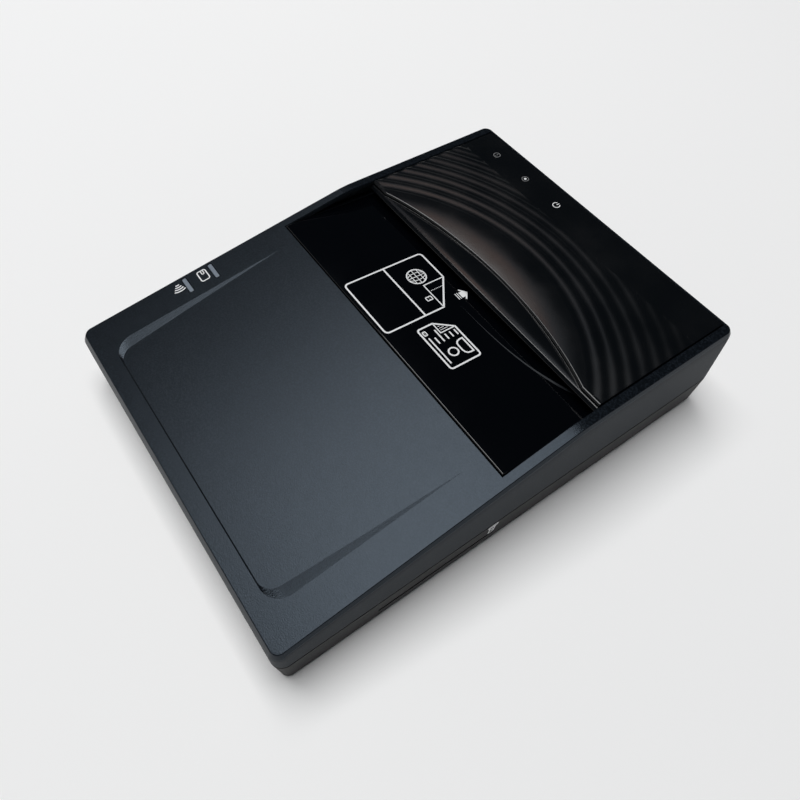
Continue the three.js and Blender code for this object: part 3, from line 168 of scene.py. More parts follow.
# Lights
LIGHT_Y = 215.3 * MM
LIGHT_X = {"error": -63.7 * MM, "data": -41.1 * MM, "power": -17.7 * MM}
LIGHT_RADIUS = 2.1 * MM
LIGHT_GAP = 0.15 * MM
LIGHT_EDGE = 0.12 * MM
LIGHT_STEPS = 48
BAR_LEFT = -83.5 * MM
BAR_LENGTH = 9.2 * MM
BAR_WIDTH = 2 * MM
BAR_DEPTH = 5 * MM
BAR_ROUND = 0.7 * MM
BAR_EDGE = 0.25 * MM
BAR_Y = {"contactless": 48.54 * MM, "card": 61.69 * MM}

# Carried-over nodes
EDGE_ROUND = 0.4 * MM
ROUNDED_NODES = ("bottom_cover", "module_door", "module_door_pin")

# Prints, and the painted reflection on the glass
INK = 0.04 * MM  # how far a print stands above its surface
LINE = 0.8 * MM
THIN_LINE = 0.55 * MM
MARK_LINE = 0.4 * MM
RING_STEPS = 40
DOT_STEPS = 24
CORNER_ARC_STEPS = 6
# Painted reflection of the hood's arched edge in the glass, drawn as a faint lighter arc
BAND_HALF = 66.5 * MM
BAND_FRONT = 140.4 * MM
BAND_RISE = 9.6 * MM
BAND_WIDTH = 1.3 * MM
BAND_START = 0.05
BAND_REACH = 1.01
BAND_STEPS = 50
WALL_MARK_Y = 96 * MM
WALL_MARK_FOOT = 8.4 * MM
WALL_MARK_STRETCH = 1.3

# Studio
CAMERA_PLACE = Vector((0.15485, -0.11495, 0.27396))
CAMERA_AIM = Vector((0.02539, -0.00165, 0.025))
CAMERA_ROLL = math.radians(5.71)
CAMERA_LENS = 31.06
CAMERA_SHIFT = (-0.0440, -0.00776)
LAMP_HEIGHT = 3
FLOOR_REACH = 1.25
HORIZON_TOP = math.radians(3)
DARK_SKY = math.radians(22)

DECK_PLACE = Matrix.Translation((0, 0, FRONT_HEIGHT)) @ Matrix.Rotation(DECK_SLOPE, 4, "X")
PANE_PLACE = Matrix.Translation((0, WINDOW_FRONT, WINDOW_HEIGHT)) @ Matrix.Rotation(-WINDOW_SLOPE, 4, "X")
TOP_PLACE = Matrix.Translation((0, 0, STRIP_LEVEL))


# Materials
class Looks:
    """One procedural material, with short calls for the nodes that it needs."""

    def __init__(self, name, colour, roughness, **sockets):
        self.material = bpy.data.materials.new(name)
        self.material.use_nodes = True
        self.nodes = self.material.node_tree.nodes
        self.links = self.material.node_tree.links
        self.shader = self.nodes["Principled BSDF"]
        self.shader.inputs["Base Color"].default_value = (*colour, 1)
        self.shader.inputs["Roughness"].default_value = roughness
        for socket, value in sockets.items():
            self.shader.inputs[socket.replace("_", " ")].default_value = value
        self.colour = colour
        self.place = self.nodes.new("ShaderNodeTexCoord").outputs["Object"]
        self.last_bump = None

    def noise(self, size, detail=2.0, stretch=(1, 1, 1)):
        """Noise whose features are about size across, in metres."""
        mapping = self.nodes.new("ShaderNodeMapping")
        mapping.inputs["Scale"].default_value = stretch
        self.links.new(self.place, mapping.inputs["Vector"])
        texture = self.nodes.new("ShaderNodeTexNoise")
        texture.inputs["Scale"].default_value = 1 / size
        texture.inputs["Detail"].default_value = detail
        self.links.new(mapping.outputs["Vector"], texture.inputs["Vector"])
        return texture.outputs["Fac"]

    def ramp(self, source, low, high, out_low, out_high):
        """source, stretched from low..high to out_low..out_high."""
        node = self.nodes.new("ShaderNodeMapRange")
        node.inputs["From Min"].default_value = low
        node.inputs["From Max"].default_value = high
        node.inputs["To Min"].default_value = out_low
        node.inputs["To Max"].default_value = out_high
        self.links.new(source, node.inputs["Value"])
        return node.outputs["Result"]

    def tint(self, source, other):
        """Mixes another colour into the base colour where source is 1."""
        mix = self.nodes.new("ShaderNodeMix")
        mix.data_type = "RGBA"
        base = self.shader.inputs["Base Color"]
        if base.is_linked:
            self.links.new(base.links[0].from_socket, mix.inputs["A"])
        else:
            mix.inputs["A"].default_value = (*self.colour, 1)
        mix.inputs["B"].default_value = (*other, 1)
        self.links.new(source, mix.inputs["Factor"])
        self.links.new(mix.outputs["Result"], base)
        return self

    def rough(self, source, low, high):
        """Lets roughness vary with source."""
        self.links.new(self.ramp(source, 0.3, 0.7, low, high), self.shader.inputs["Roughness"])
        return self

    def rough_facing(self, axis, low, high, roughness):
        """Moves to another roughness as the normal's share along an axis goes from low to high."""
        way = self.nodes.new("ShaderNodeSeparateXYZ")
        self.links.new(self.nodes.new("ShaderNodeTexCoord").outputs["Normal"], way.inputs["Vector"])
        mix = self.nodes.new("ShaderNodeMix")
        self.links.new(self.ramp(way.outputs[axis], low, high, 0, 1), mix.inputs["Factor"])
        socket = self.shader.inputs["Roughness"]
        self.links.new(socket.links[0].from_socket, mix.inputs["A"])
        mix.inputs["B"].default_value = roughness
        self.links.new(mix.outputs["Result"], socket)
        return self

    def bump(self, source, height):
        """Adds relief of that height, in metres."""
        node = self.nodes.new("ShaderNodeBump")
        node.inputs["Distance"].default_value = height
        self.links.new(source, node.inputs["Height"])
        if self.last_bump:
            self.links.new(self.last_bump, node.inputs["Normal"])
        self.last_bump = node.outputs["Normal"]
        self.links.new(self.last_bump, self.shader.inputs["Normal"])
        return self

    def worn_edges(self, other, low=0.53, high=0.6):
        """Lightens convex edges, as handling does."""
        edges = self.nodes.new("ShaderNodeNewGeometry").outputs["Pointiness"]
        return self.tint(self.ramp(edges, low, high, 0, 0.6), other)


def lighter(colour, share):
    return tuple(min(1, c * share) for c in colour)


def moulded_plastic(name, colour, roughness, grain, relief, **sockets):
    """Moulded plastic with a fine spark-eroded grain, smoother on level rails and coarser on walls."""
    looks = Looks(name, colour, roughness, **sockets)
    speckle = looks.noise(grain, 3)
    looks.tint(looks.ramp(looks.noise(grain * 1.6, 1), 0.4, 0.66, 0, 1), lighter(colour, 2.6))
    looks.tint(looks.ramp(looks.noise(60 * MM, 1), 0.4, 0.7, 0, 0.2), lighter(colour, 0.8))
    looks.rough(looks.noise(4 * MM, 4), roughness - 0.012, roughness + 0.012)
    looks.rough_facing("Y", -0.13, -0.04, roughness * 0.5)
    looks.rough_facing("Z", 0.4, 0.15, max(WALL_ROUGHNESS, roughness))
    looks.bump(speckle, relief)
    return looks.worn_edges(lighter(colour, 1.6)).material


def gloss_plastic(name, colour, roughness, relief, **sockets):
    """Polished plastic with faint smears and hardly any relief."""
    looks = Looks(name, colour, roughness, **sockets)
    looks.rough(looks.noise(22 * MM, 5), roughness * 0.8, roughness * 1.35)
    looks.tint(looks.ramp(looks.noise(0.25 * MM, 2), 0.66, 0.8, 0, 0.35), lighter(colour, 2.5))
    return looks.bump(looks.noise(1.1 * MM, 3), relief).material


def print_and_reflection_ink(name, colour):
    """Screen-printed ink, slightly uneven. Also used as the paint of a painted reflection on the glass."""
    looks = Looks(name, colour, 0.5)
    looks.tint(looks.ramp(looks.noise(0.3 * MM, 3), 0.55, 0.8, 0, 0.35), lighter(colour, 0.8))
    return looks.bump(looks.noise(0.15 * MM, 2), 0.004 * MM).material


def frosted_plastic(name, colour):
    """Light diffuser with a milky body."""
    looks = Looks(name, colour, 0.42, Subsurface_Weight=0.25)
    looks.shader.inputs["Subsurface Radius"].default_value = (MM, MM, MM)
    looks.tint(looks.ramp(looks.noise(2 * MM, 2), 0.4, 0.7, 0, 0.3), lighter(colour, 1.25))
    return looks.bump(looks.noise(0.3 * MM, 2), 0.008 * MM).material


def rubber(name, colour):
    looks = Looks(name, colour, 0.85)
    looks.tint(looks.ramp(looks.noise(3 * MM, 4), 0.55, 0.75, 0, 0.6), lighter(colour, 2.4))
    return looks.bump(looks.noise(0.35 * MM, 3), 0.03 * MM).material


def brushed_steel(name, colour):
    looks = Looks(name, colour, 0.3, Metallic=1.0)
    streaks = looks.noise(0.25 * MM, 3, (1, 12, 1))
    looks.rough(streaks, 0.22, 0.42)
    looks.tint(looks.ramp(looks.noise(5 * MM, 3), 0.5, 0.8, 0, 0.4), lighter(colour, 0.7))
    return looks.bump(streaks, 0.004 * MM).material


def circuit_board(name, colour):
    """Solder mask over tracks."""
    looks = Looks(name, colour, 0.35, Coat_Weight=0.3)
    tracks = looks.nodes.new("ShaderNodeTexBrick")
    tracks.inputs["Scale"].default_value = 320
    tracks.inputs["Mortar Size"].default_value = 0.06
    for socket, value in (("Color1", 1), ("Color2", 1), ("Mortar", 0)):
        tracks.inputs[socket].default_value = (value, value, value, 1)
    looks.links.new(looks.place, tracks.inputs["Vector"])
    looks.tint(looks.ramp(tracks.outputs["Fac"], 0, 1, 0, 0.7), lighter(colour, 1.9))
    return looks.bump(looks.noise(0.8 * MM, 2), 0.01 * MM).material


def polished_glass(name, colour, metallic=0.0):
    looks = Looks(name, colour, 0.05, Metallic=metallic)
    looks.rough(looks.noise(15 * MM, 4), 0.03, 0.09)
    return looks.bump(looks.noise(8 * MM, 2), 0.002 * MM).material


WALL_ROUGHNESS = 0.62
BLUE_SHEEN = (0.68, 0.83, 1.0, 1)
DECK_SHEEN = {"Specular_IOR_Level": 0.3, "Specular_Tint": BLUE_SHEEN}
BASE_SHEEN = {"Specular_IOR_Level": 0.25}
MATERIALS = {
    "deck_plastic": moulded_plastic(
        "deck_plastic", (0.003, 0.004, 0.0054), 0.3, 0.5 * MM, 0.05 * MM, **DECK_SHEEN
    ),
    "base_plastic": moulded_plastic(
        "base_plastic", (0.006, 0.006, 0.0064), 0.55, 0.45 * MM, 0.035 * MM, **BASE_SHEEN
    ),
    "window_glass": gloss_plastic("window_glass", (0.0006, 0.0009, 0.0016), 0.07, 0.0012 * MM),
    "hood_plastic": gloss_plastic("hood_plastic", (0.002, 0.0026, 0.0034), 0.17, 0.0015 * MM),
    "foam": rubber("foam", (0.012, 0.012, 0.013)),
    "frosted_plastic": frosted_plastic("frosted_plastic", (0.15, 0.18, 0.22)),
    "rubber": rubber("rubber", (0.009, 0.009, 0.009)),
    "steel": brushed_steel("steel", (0.48, 0.50, 0.53)),
    "board": circuit_board("board", (0.012, 0.10, 0.038)),
    "chip": moulded_plastic("chip", (0.01, 0.01, 0.011), 0.45, 0.2 * MM, 0.012 * MM),
    "ferrite": moulded_plastic("ferrite", (0.042, 0.037, 0.034), 0.7, 0.3 * MM, 0.01 * MM),
    "inner_plastic": moulded_plastic("inner_plastic", (0.019, 0.021, 0.024), 0.55, 0.4 * MM, 0.02 * MM),
    "mirror_glass": polished_glass("mirror_glass", (0.74, 0.78, 0.81), 1.0),
    "lens_glass": polished_glass("lens_glass", (0.10, 0.13, 0.21)),
}
WHITE_INK = print_and_reflection_ink("white_ink", (0.78, 0.79, 0.80))
# Painted reflection: a colour a little lighter than the glass, standing in for the hood's arched edge
# mirrored in it
PAINTED_REFLECTION_INK = print_and_reflection_ink("painted_reflection_ink", (0.012, 0.015, 0.019))
GREY_INK = print_and_reflection_ink("grey_ink", (0.14, 0.145, 0.15))


# Pieces
def shade(mesh, limit):
    """Smooth faces with sharp edges where the surface turns by more than limit degrees."""
    shaped = bmesh.new()
    shaped.from_mesh(mesh)
    for face in shaped.faces:
        face.smooth = True
    for edge in shaped.edges:
        edge.smooth = len(edge.link_faces) == 2 and edge.calc_face_angle(0) < math.radians(limit)
    shaped.to_mesh(mesh)
    shaped.free()


def raw(name, points, faces, place=Matrix.Identity(4)):
    """Object from points of the case's frame, or of a frame that lies in it."""
    mesh = bpy.data.meshes.new(name)
    mesh.from_pydata([CASE @ place @ Vector(p) for p in points], [], faces)
    shaped = bmesh.new()
    shaped.from_mesh(mesh)
    bmesh.ops.remove_doubles(shaped, verts=shaped.verts, dist=0.002 * MM)
    bmesh.ops.recalc_face_normals(shaped, faces=shaped.faces)
    shaped.to_mesh(mesh)
    shaped.free()
    made = bpy.data.objects.new(name, mesh)
    bpy.context.scene.collection.objects.link(made)
    return made


def dressed(made, material, body="case", stands_for=(), limit=32):
    """Gives a finished piece its material, its shading and its body."""
    made.data.materials.clear()
    made.data.materials.append(material)
    shade(made.data, limit)
    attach(made, body)
    if stands_for:
        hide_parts(*stands_for)
    made.modifiers.new("even", "WEIGHTED_NORMAL").keep_sharp = True
    return made


def settled(made):
    """Applies the modifiers of a piece and leaves a plain mesh."""
    graph = bpy.context.evaluated_depsgraph_get()
    mesh = bpy.data.meshes.new_from_object(made.evaluated_get(graph))
    old = made.data
    made.modifiers.clear()
    made.data = mesh
    bpy.data.meshes.remove(old)
    return made


def combine(made, others, operation="DIFFERENCE"):
    """Cuts other solids out of a piece, or joins them to it, and removes them."""
    for other in others:
        modifier = made.modifiers.new("solid", "BOOLEAN")
        modifier.operation = operation
        modifier.solver = "EXACT"
        modifier.object = other
    bpy.context.view_layer.update()
    settled(made)
    for other in others:
        mesh = other.data
        bpy.data.objects.remove(other)
        bpy.data.meshes.remove(mesh)
    return made


def mirrored(half):
    """Closed ring from its left half, which runs from front to rear."""
    return [*half, *((-x, y, z) for x, y, z in reversed(half))]


def loft(name, halves, place=Matrix.Identity(4)):
    """Solid through mirrored rings, its two ends made of strips from side to side."""
    count = 2 * len(halves[0])
    points = [p for half in halves for p in mirrored(half)]
    faces = []
    for low in range(0, (len(halves) - 1) * count, count):
        for i in range(count):
            after = (i + 1) % count
            faces.append((low + i, low + after, low + count + after, low + count + i))
    for first in (0, (len(halves) - 1) * count):
        last = first + count - 1
        for i in range(len(halves[0]) - 1):
            faces.append((first + i, first + i + 1, last - i - 1, last - i))
    return raw(name, points, faces, place)


def slab(name, low, high, place=Matrix.Identity(4)):
    """Plain block between two corners."""
    middle = (low[0] + high[0]) / 2
    left = low[0] - middle
    rings = [[(left, low[1], z), (left, high[1], z)] for z in (low[2], high[2])]
    return loft(name, rings, place @ Matrix.Translation((middle, 0, 0)))


def arc(x, y, radius, start, steps=CORNER_STEPS):
    """Quarter turn about (x, y), clockwise as seen from above."""
    angles = [start - QUARTER * i / steps for i in range(steps + 1)]
    return [(x + radius * math.cos(a), y + radius * math.sin(a)) for a in angles]


def edge_steps(edge):
    """How far in and how far down the rings of a small rounded upper edge lie."""
    return [(0, edge), (edge * 0.3, edge * 0.3), (edge, 0)]


def disc(name, radius, low, high, place, edge=0.0, steps=LIGHT_STEPS):
    """Round plug with a small rounded upper edge."""
    rings = [(radius, low), *((radius - inset, high - drop) for inset, drop in edge_steps(edge))]
    turns = [2 * math.pi * i / steps for i in range(steps)]
    points = [(r * math.cos(t), r * math.sin(t), z) for r, z in rings for t in turns]
    faces = [tuple(range(steps)), tuple(range(3 * steps, 4 * steps))]
    for low_ring in range(0, 3 * steps, steps):
        for i in range(steps):
            after = (i + 1) % steps
            faces.append((low_ring + i, low_ring + after, low_ring + steps + after, low_ring + steps + i))
    return raw(name, points, faces, place)


# Top cover
def deck_height(y):
    """Height of the deck, softly bent where it turns level."""
    rising = FRONT_HEIGHT + math.tan(DECK_SLOPE) * y
    share = (y - KINK + KINK_SOFTNESS) / (2 * KINK_SOFTNESS)
    if share <= 0:
        return rising
    if share >= 1:
        return LEVEL
    return rising - math.tan(DECK_SLOPE) * KINK_SOFTNESS * share * share


def deck_half(out, height, follows):
    """Left half of a ring round the deck, moved outwards, that follows the deck's height or stays level."""
    side = DECK_HALF + out
    radius = DECK_RADIUS + out
    front = arc(radius - side, radius - out, radius, -QUARTER)
    rear = arc(radius - side, DECK_LENGTH + out - radius, radius, math.pi)
    bend = [(-side, y) for y in BEND_ROWS]
    return [(x, y, height + follows * deck_height(y)) for x, y in [*front, *bend, *rear]]


def between(a, b, share):
    return tuple((1 - share) * p + share * q for p, q in zip(a, b))


def rounded_profile(corners, rounds):
    """Profile through corners, where corner i turns within a share rounds[i] of its sides."""
    profile = [corners[0]]
    for before, corner, after, turn in zip(corners, corners[1:], corners[2:], rounds):
        into = between(corner, before, turn)
        out = between(corner, after, turn)
        for step in range(FILLET_STEPS + 1):
            share = step / FILLET_STEPS
            profile.append(between(between(into, corner, share), between(corner, out, share), share))
    return [*profile, corners[-1]]


def cover_shell():
    """Outer and inner faces of the top cover, as steps outwards, heights and shares of the deck's height."""
    corners = [
        (BELT - EDGE_BREAK, PARTING_TOP, 0),
        (BELT, PARTING_TOP + EDGE_BREAK, 0),
        (CREASE_OUT, CREASE, 0),
        (SHOULDER_OUT, -SHOULDER_DROP, 1),
        (0, 0, 1),
        (-DECK_MARGIN, 0, 1),
    ]
    profile = rounded_profile(corners, [0.3, 0.1, 0.3, 0.14])
    shell = loft("top_cover_shell", [deck_half(*corner) for corner in profile])
    low = deck_half(BELT - WALL, PARTING_TOP - OVER, 0)
    high = deck_half(SHOULDER_OUT - WALL, -WALL, 1)
    return combine(shell, [loft("hollow", [low, high])])


def above_deck(half, lift):
    """Space over the deck round the window, from lift above its surface."""
    rows = [WINDOW_FRONT - SKIRT - 2 * OVER, *BEND_ROWS, DECK_LENGTH]
    low = [(-half, y, deck_height(y) + lift) for y in rows]
    return loft("above_deck", [low, [(x, y, LEVEL + OVER) for x, y, _ in low]])


def window_frame():
    """Ledge and skirt round the glass, with the shelf behind it."""
    half = WELL_HALF + SKIRT
    foot = -LEDGE_DROP - LEDGE_THICKNESS
    rear = WINDOW_LENGTH + GAP + SKIRT
    frame_block = slab("frame", (-half, -GAP - SKIRT, foot), (half, rear, 0), PANE_PLACE)
    inner = WELL_HALF - LEDGE_WIDTH
    hole_low = (-inner, LEDGE_WIDTH, foot - OVER)
    hole_high = (inner, WINDOW_LENGTH - LEDGE_WIDTH, OVER)
    hole = slab("hole", hole_low, hole_high, PANE_PLACE)
    stop_high = slab(
        "stop",
        (-half, WINDOW_REAR + GAP, SHELF_FOOT - 4 * MM),
        (half, WINDOW_REAR + GAP + SKIRT, POCKET_FLOOR - OVER),
    )
    shelf = slab(
        "shelf",
        (-DECK_HALF + WALL / 2, WINDOW_REAR + GAP + OVER, SHELF_FOOT),
        (DECK_HALF - WALL / 2, DECK_LENGTH - WALL / 2, LEVEL - OVER),
    )
    combine(frame_block, [hole, above_deck(half + OVER, -EDGE_BREAK - GAP)])
    return [frame_block, stop_high, shelf]


def tray_half(depth_share, lift=0.0):
    """Left half of a ring on the tray's side, in the deck's frame."""
    rise = TRAY_DEPTH / (TRAY_REAR - TRAY_FRONT)

    def depth(y):
        return max(TRAY_DEPTH - rise * (y - TRAY_FRONT), 0)

    def side(y):
        return TRAY_HALF - depth_share * depth(y) * TRAY_BEVEL / TRAY_DEPTH

    front = TRAY_FRONT + depth_share * TRAY_FRONT_BEVEL
    radius = TRAY_RADIUS - depth_share * (TRAY_BEVEL - TRAY_FRONT_BEVEL) / 2
    outline = arc(radius - side(front), front + radius, radius, -QUARTER)
    rows = [TRAY_REAR - share * (TRAY_REAR - front - radius) for share in (0.6, 0.3, 0.1, 0)]
    outline += [(-side(y), y) for y in rows]
    outline.append((-side(TRAY_REAR), TRAY_REAR + TRAY_RADIUS / 2))
    return [(x, y, lift - depth_share * depth(y)) for x, y in outline]


def tray_cutter():
    return loft("tray", [tray_half(1), tray_half(0), tray_half(0, OVER)], DECK_PLACE)


def mark_tray(mesh):
    """Sharp creases above and below the tray's shallow bevel."""
    level = (CASE @ DECK_PLACE).to_3x3() @ Vector((0, 0, 1))
    shaped = bmesh.new()
    shaped.from_mesh(mesh)
    for edge in shaped.edges:
        tilts = sorted(math.degrees(face.normal.angle(level)) for face in edge.link_faces)
        if tilts[0] < FLOOR_TILT and tilts[-1] > BEVEL_TILT:
            edge.smooth = False
    shaped.to_mesh(mesh)
    shaped.free()


def rounded_half(half, front, rear, radius, z):
    """Left half of a rounded rectangle at a level height."""
    front_arc = arc(radius - half, front + radius, radius, -QUARTER, FILLET_STEPS)
    rear_arc = arc(radius - half, rear - radius, radius, math.pi, FILLET_STEPS)
    return [(x, y, z) for x, y in [*front_arc, *rear_arc]]


def bar_cutter(y):
    middle = BAR_LEFT + BAR_LENGTH / 2
    front, rear = y - BAR_WIDTH / 2 - GAP, y + BAR_WIDTH / 2 + GAP
    half = BAR_LENGTH / 2 + GAP
    rings = [rounded_half(half, front, rear, BAR_ROUND + GAP, z) for z in (-BAR_DEPTH, OVER)]
    return loft("bar_slot", rings, DECK_PLACE @ Matrix.Translation((middle, 0, 0)))


def well_cutters():
    """The window's well and the hood's pocket, each with a broken upper edge that follows the deck."""
    well = slab(
        "well",
        (-WELL_HALF, -GAP, -LEDGE_DROP),
        (WELL_HALF, WINDOW_LENGTH + GAP, LEVEL),
        PANE_PLACE,
    )
    pocket = slab("pocket", (-WELL_HALF, KINK, POCKET_FLOOR), (WELL_HALF, HOOD_REAR + GAP, LEVEL + OVER))
    rows = [WINDOW_FRONT - GAP, *BEND_ROWS, HOOD_REAR + GAP]

    def edge(out, up):
        ys = [rows[0] - out, *rows[1:-1], rows[-1] + out]
        return [(-WELL_HALF - out, y, deck_height(y) + up) for y in ys]

    chamfer = loft("chamfer", [edge(0, -EDGE_BREAK), edge(EDGE_BREAK, EDGE_RISE), edge(EDGE_BREAK, OVER)])
    return [well, pocket, chamfer]


def slot_guides():
    """Blocks beside the document slot."""
    foot = WINDOW_HEIGHT - WINDOW_DROP + GAP
    rear = WINDOW_REAR + GAP + OVER
    sides = (("guide_a", -WELL_HALF - OVER, -GUIDE_HALF), ("guide_b", GUIDE_HALF, WELL_HALF + OVER))
    return [
        slab(name, (left, GUIDE_FRONT, foot), (right, rear, POCKET_FLOOR)) for name, left, right in sides
    ]


def top_cover():
    cover = cover_shell()
    combine(cover, window_frame(), "UNION")
    bars = [bar_cutter(y) for y in BAR_Y.values()]
    combine(cover, [*well_cutters(), tray_cutter(), *bars])
    combine(cover, slot_guides(), "UNION")
    dressed(cover, MATERIALS["deck_plastic"], stands_for=["top_cover"], limit=19)
    mark_tray(cover.data)


# Document hood
def arch_y(x):
    """Front edge of the level top: the arch over the scoop, and straight beside it."""
    straight = HOOD_LIP + RIM_SETBACK
    radius = (ARCH_HALF ** 2 + ARCH_RISE ** 2) / (2 * ARCH_RISE)
    drop = radius - math.sqrt(radius ** 2 - min(abs(x), ARCH_HALF) ** 2)
    return max(straight, straight + ARCH_RISE - drop)


def wave_front(x):
    """Where the waves begin behind the dish."""
    inside = WAVE_START ** 2 - x ** 2
    reach = WAVE_CENTRE + math.sqrt(inside) if inside > 0 else 0
    return max(arch_y(x) + 0.05 * MM, reach)


def wave_height(x, y):
    place = (math.hypot(x, y - WAVE_CENTRE) - WAVE_VALLEY) / WAVE_PITCH
    if place < WAVE_RISE - 1:
        return LEVEL
    place %= 1
    rising = place < WAVE_RISE
    share = place / WAVE_RISE if rising else (place - WAVE_RISE) / (1 - WAVE_RISE)
    share -= math.sin(2 * math.pi * share) / (4 * math.pi)
    return LEVEL - WAVE_DEPTH * (1 - share if rising else share)


def quarter_turns(steps):
    """Shares of a quarter circle, without its start: how far along and how far up."""
    turns = [QUARTER * i / steps for i in range(1, steps + 1)]
    return [(math.sin(turn), 1 - math.cos(turn)) for turn in turns]


def lip():
    """The hood's front edge: a low upright edge, a slope of 45 degrees and a round top."""
    step_out, step_up = LIP_EDGE
    top = HOOD_FOOT + LIP_HEIGHT
    round_y = HOOD_LIP + step_out + LIP_HEIGHT - step_up + LIP_ROUND * (math.sqrt(2) - 1)
    points = [(HOOD_LIP, HOOD_FOOT), (HOOD_LIP + step_out, HOOD_FOOT + step_up)]
    for i in range(LIP_STEPS + 1):
        turn = QUARTER / 2 * (1 + i / LIP_STEPS)
        points.append((round_y - LIP_ROUND * math.cos(turn), top - LIP_ROUND * (1 - math.sin(turn))))
    return points


def scoop_floor(x):
    """The scoop's floor, which rises a little behind the lip and then falls to the wall's foot."""
    front, top = lip()[-1]
    room = arch_y(x) - SCOOP_WALL - BROW_ROUND - front
    points = []
    for i in range(1, SCOOP_STEPS + 1):
        share = i / SCOOP_STEPS
        rise = SCOOP_GLOW * (1 - math.exp(-room * share / SCOOP_GLOW_LENGTH))
        fall = SCOOP_FALL * room / ARCH_RISE * share ** 2
        points.append((front + room * share, top + rise - fall))
    return points


def scoop_wall(x, rim_z):
    """The wall behind the scoop, with a small round at its foot and a larger one at its rim."""
    foot_y, foot_z = scoop_floor(x)[-1]
    brow_y = arch_y(x) - BROW_ROUND
    foot = [
        (foot_y + (brow_y - foot_y) * along, foot_z + FOOT_ROUND * up)
        for along, up in quarter_turns(FOOT_STEPS)
    ]
    brow = [
        (brow_y + BROW_ROUND * up, rim_z - BROW_ROUND * (1 - along))
        for along, up in quarter_turns(BROW_STEPS)
    ]
    return [*foot, *brow]


def hood_column(x):
    """Points of the hood's outer face along one column, from the lip's foot to the rear."""
    rim_y = arch_y(x)
    start = wave_front(x)
    dish = DISH * ((start - rim_y) / DISH_WIDTH) ** 2
    column = [*lip(), *scoop_floor(x), *scoop_wall(x, LEVEL - dish)]
    for i in range(1, DISH_STEPS + 1):
        share = (i / DISH_STEPS) ** DISH_STEP_GROWTH
        column.append((rim_y + (start - rim_y) * share, LEVEL - dish * (1 - share) ** DISH_FADE))
    for i in range(1, WAVE_STEPS + 1):
        y = start + (STRIP_FRONT - start) * i / WAVE_STEPS
        column.append((y, wave_height(x, y)))
    column += [
        (STRIP_FRONT + STRIP_STEP, STRIP_LEVEL),
        (HOOD_REAR - HOOD_EDGE, STRIP_LEVEL),
        (HOOD_REAR - HOOD_EDGE_MIDDLE, STRIP_LEVEL - HOOD_EDGE_MIDDLE),
        (HOOD_REAR, STRIP_LEVEL - HOOD_EDGE),
        (HOOD_REAR, HOOD_FOOT),
    ]
    return [(x, y, z) for y, z in column]


def hood_columns():
    """Columns from left to right, with a rounded edge along both sides."""
    reach = HOOD_HALF - HOOD_EDGE
    columns = [hood_column(reach * (2 * i / HOOD_COLUMNS - 1)) for i in range(HOOD_COLUMNS + 1)]

    def shut(column, x, drop):
        return [(x, y, max(z - drop, HOOD_FOOT)) for _, y, z in column]

    left = [
        shut(columns[0], -HOOD_HALF, HOOD_EDGE),
        shut(columns[0], -HOOD_HALF + HOOD_EDGE_MIDDLE, HOOD_EDGE_MIDDLE),
    ]
    right = [
        shut(columns[-1], HOOD_HALF - HOOD_EDGE_MIDDLE, HOOD_EDGE_MIDDLE),
        shut(columns[-1], HOOD_HALF, HOOD_EDGE),
    ]
    return [*left, *columns, *right]


def document_hood():
    columns = hood_columns()
    rows = len(columns[0])
    starts = [column * rows for column in range(len(columns))]
    faces = []
    for here, after in zip(starts, starts[1:]):
        faces += [(here + r, after + r, after + r + 1, here + r + 1) for r in range(rows - 1)]
    last = starts[-1]
    faces += [tuple(range(rows)), tuple(range(last + rows - 1, last - 1, -1))]
    faces += [(here, after, after + rows - 1, here + rows - 1) for here, after in zip(starts, starts[1:])]
    hood = raw("hood", [p for column in columns for p in column], faces)
    holes = []
    for x in LIGHT_X.values():
        place = Matrix.Translation((x, LIGHT_Y, 0))
        holes.append(disc("light_hole", LIGHT_RADIUS + LIGHT_GAP, HOOD_FOOT - OVER, LEVEL + OVER, place))
    combine(hood, holes)
    dressed(hood, MATERIALS["hood_plastic"], stands_for=["document_hood"], limit=30)


# Scan window
def scan_window():
    """Glass plate with a rounded upper edge."""
    rings = [
        rounded_half(WINDOW_HALF, 0, WINDOW_LENGTH, WINDOW_CORNER, -WINDOW_THICKNESS),
        rounded_half(WINDOW_HALF, 0, WINDOW_LENGTH, WINDOW_CORNER, -WINDOW_CHAMFER),
    ]
    for share in (0.25, 0.5, 0.7, 0.85, 1):
        inset = WINDOW_CHAMFER * (1 - math.cos(QUARTER * share))
        z = -WINDOW_CHAMFER * (1 - math.sin(QUARTER * share))
        rings.append(rounded_half(WINDOW_HALF - inset, inset, WINDOW_LENGTH - inset, WINDOW_CORNER, z))
    glass = loft("glass_plate", rings, PANE_PLACE)
    dressed(glass, MATERIALS["window_glass"], stands_for=["scan_window"], limit=60)


# Light guides
def light_bars():
    middle = BAR_LEFT + BAR_LENGTH / 2
    place = DECK_PLACE @ Matrix.Translation((middle, 0, 0))
    for name, y in BAR_Y.items():
        front, rear = y - BAR_WIDTH / 2, y + BAR_WIDTH / 2
        rings = [
            rounded_half(BAR_LENGTH / 2 - inset, front + inset, rear - inset, BAR_ROUND, -drop)
            for inset, drop in [(0, BAR_DEPTH), *edge_steps(BAR_EDGE)]
        ]
        bar = loft(f"{name}_bar", rings, place)
        dressed(bar, MATERIALS["frosted_plastic"], stands_for=[f"{name}_light_bar"])


def light_guides():
    for name, x in LIGHT_X.items():
        node = f"{name}_light_guide"
        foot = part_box(node)[0].z - base_low.z
        place = Matrix.Translation((x, LIGHT_Y, 0))
        guide = disc(f"{name}_guide", LIGHT_RADIUS, foot, STRIP_LEVEL, place, LIGHT_EDGE)
        dressed(guide, MATERIALS["hood_plastic"], stands_for=[node])
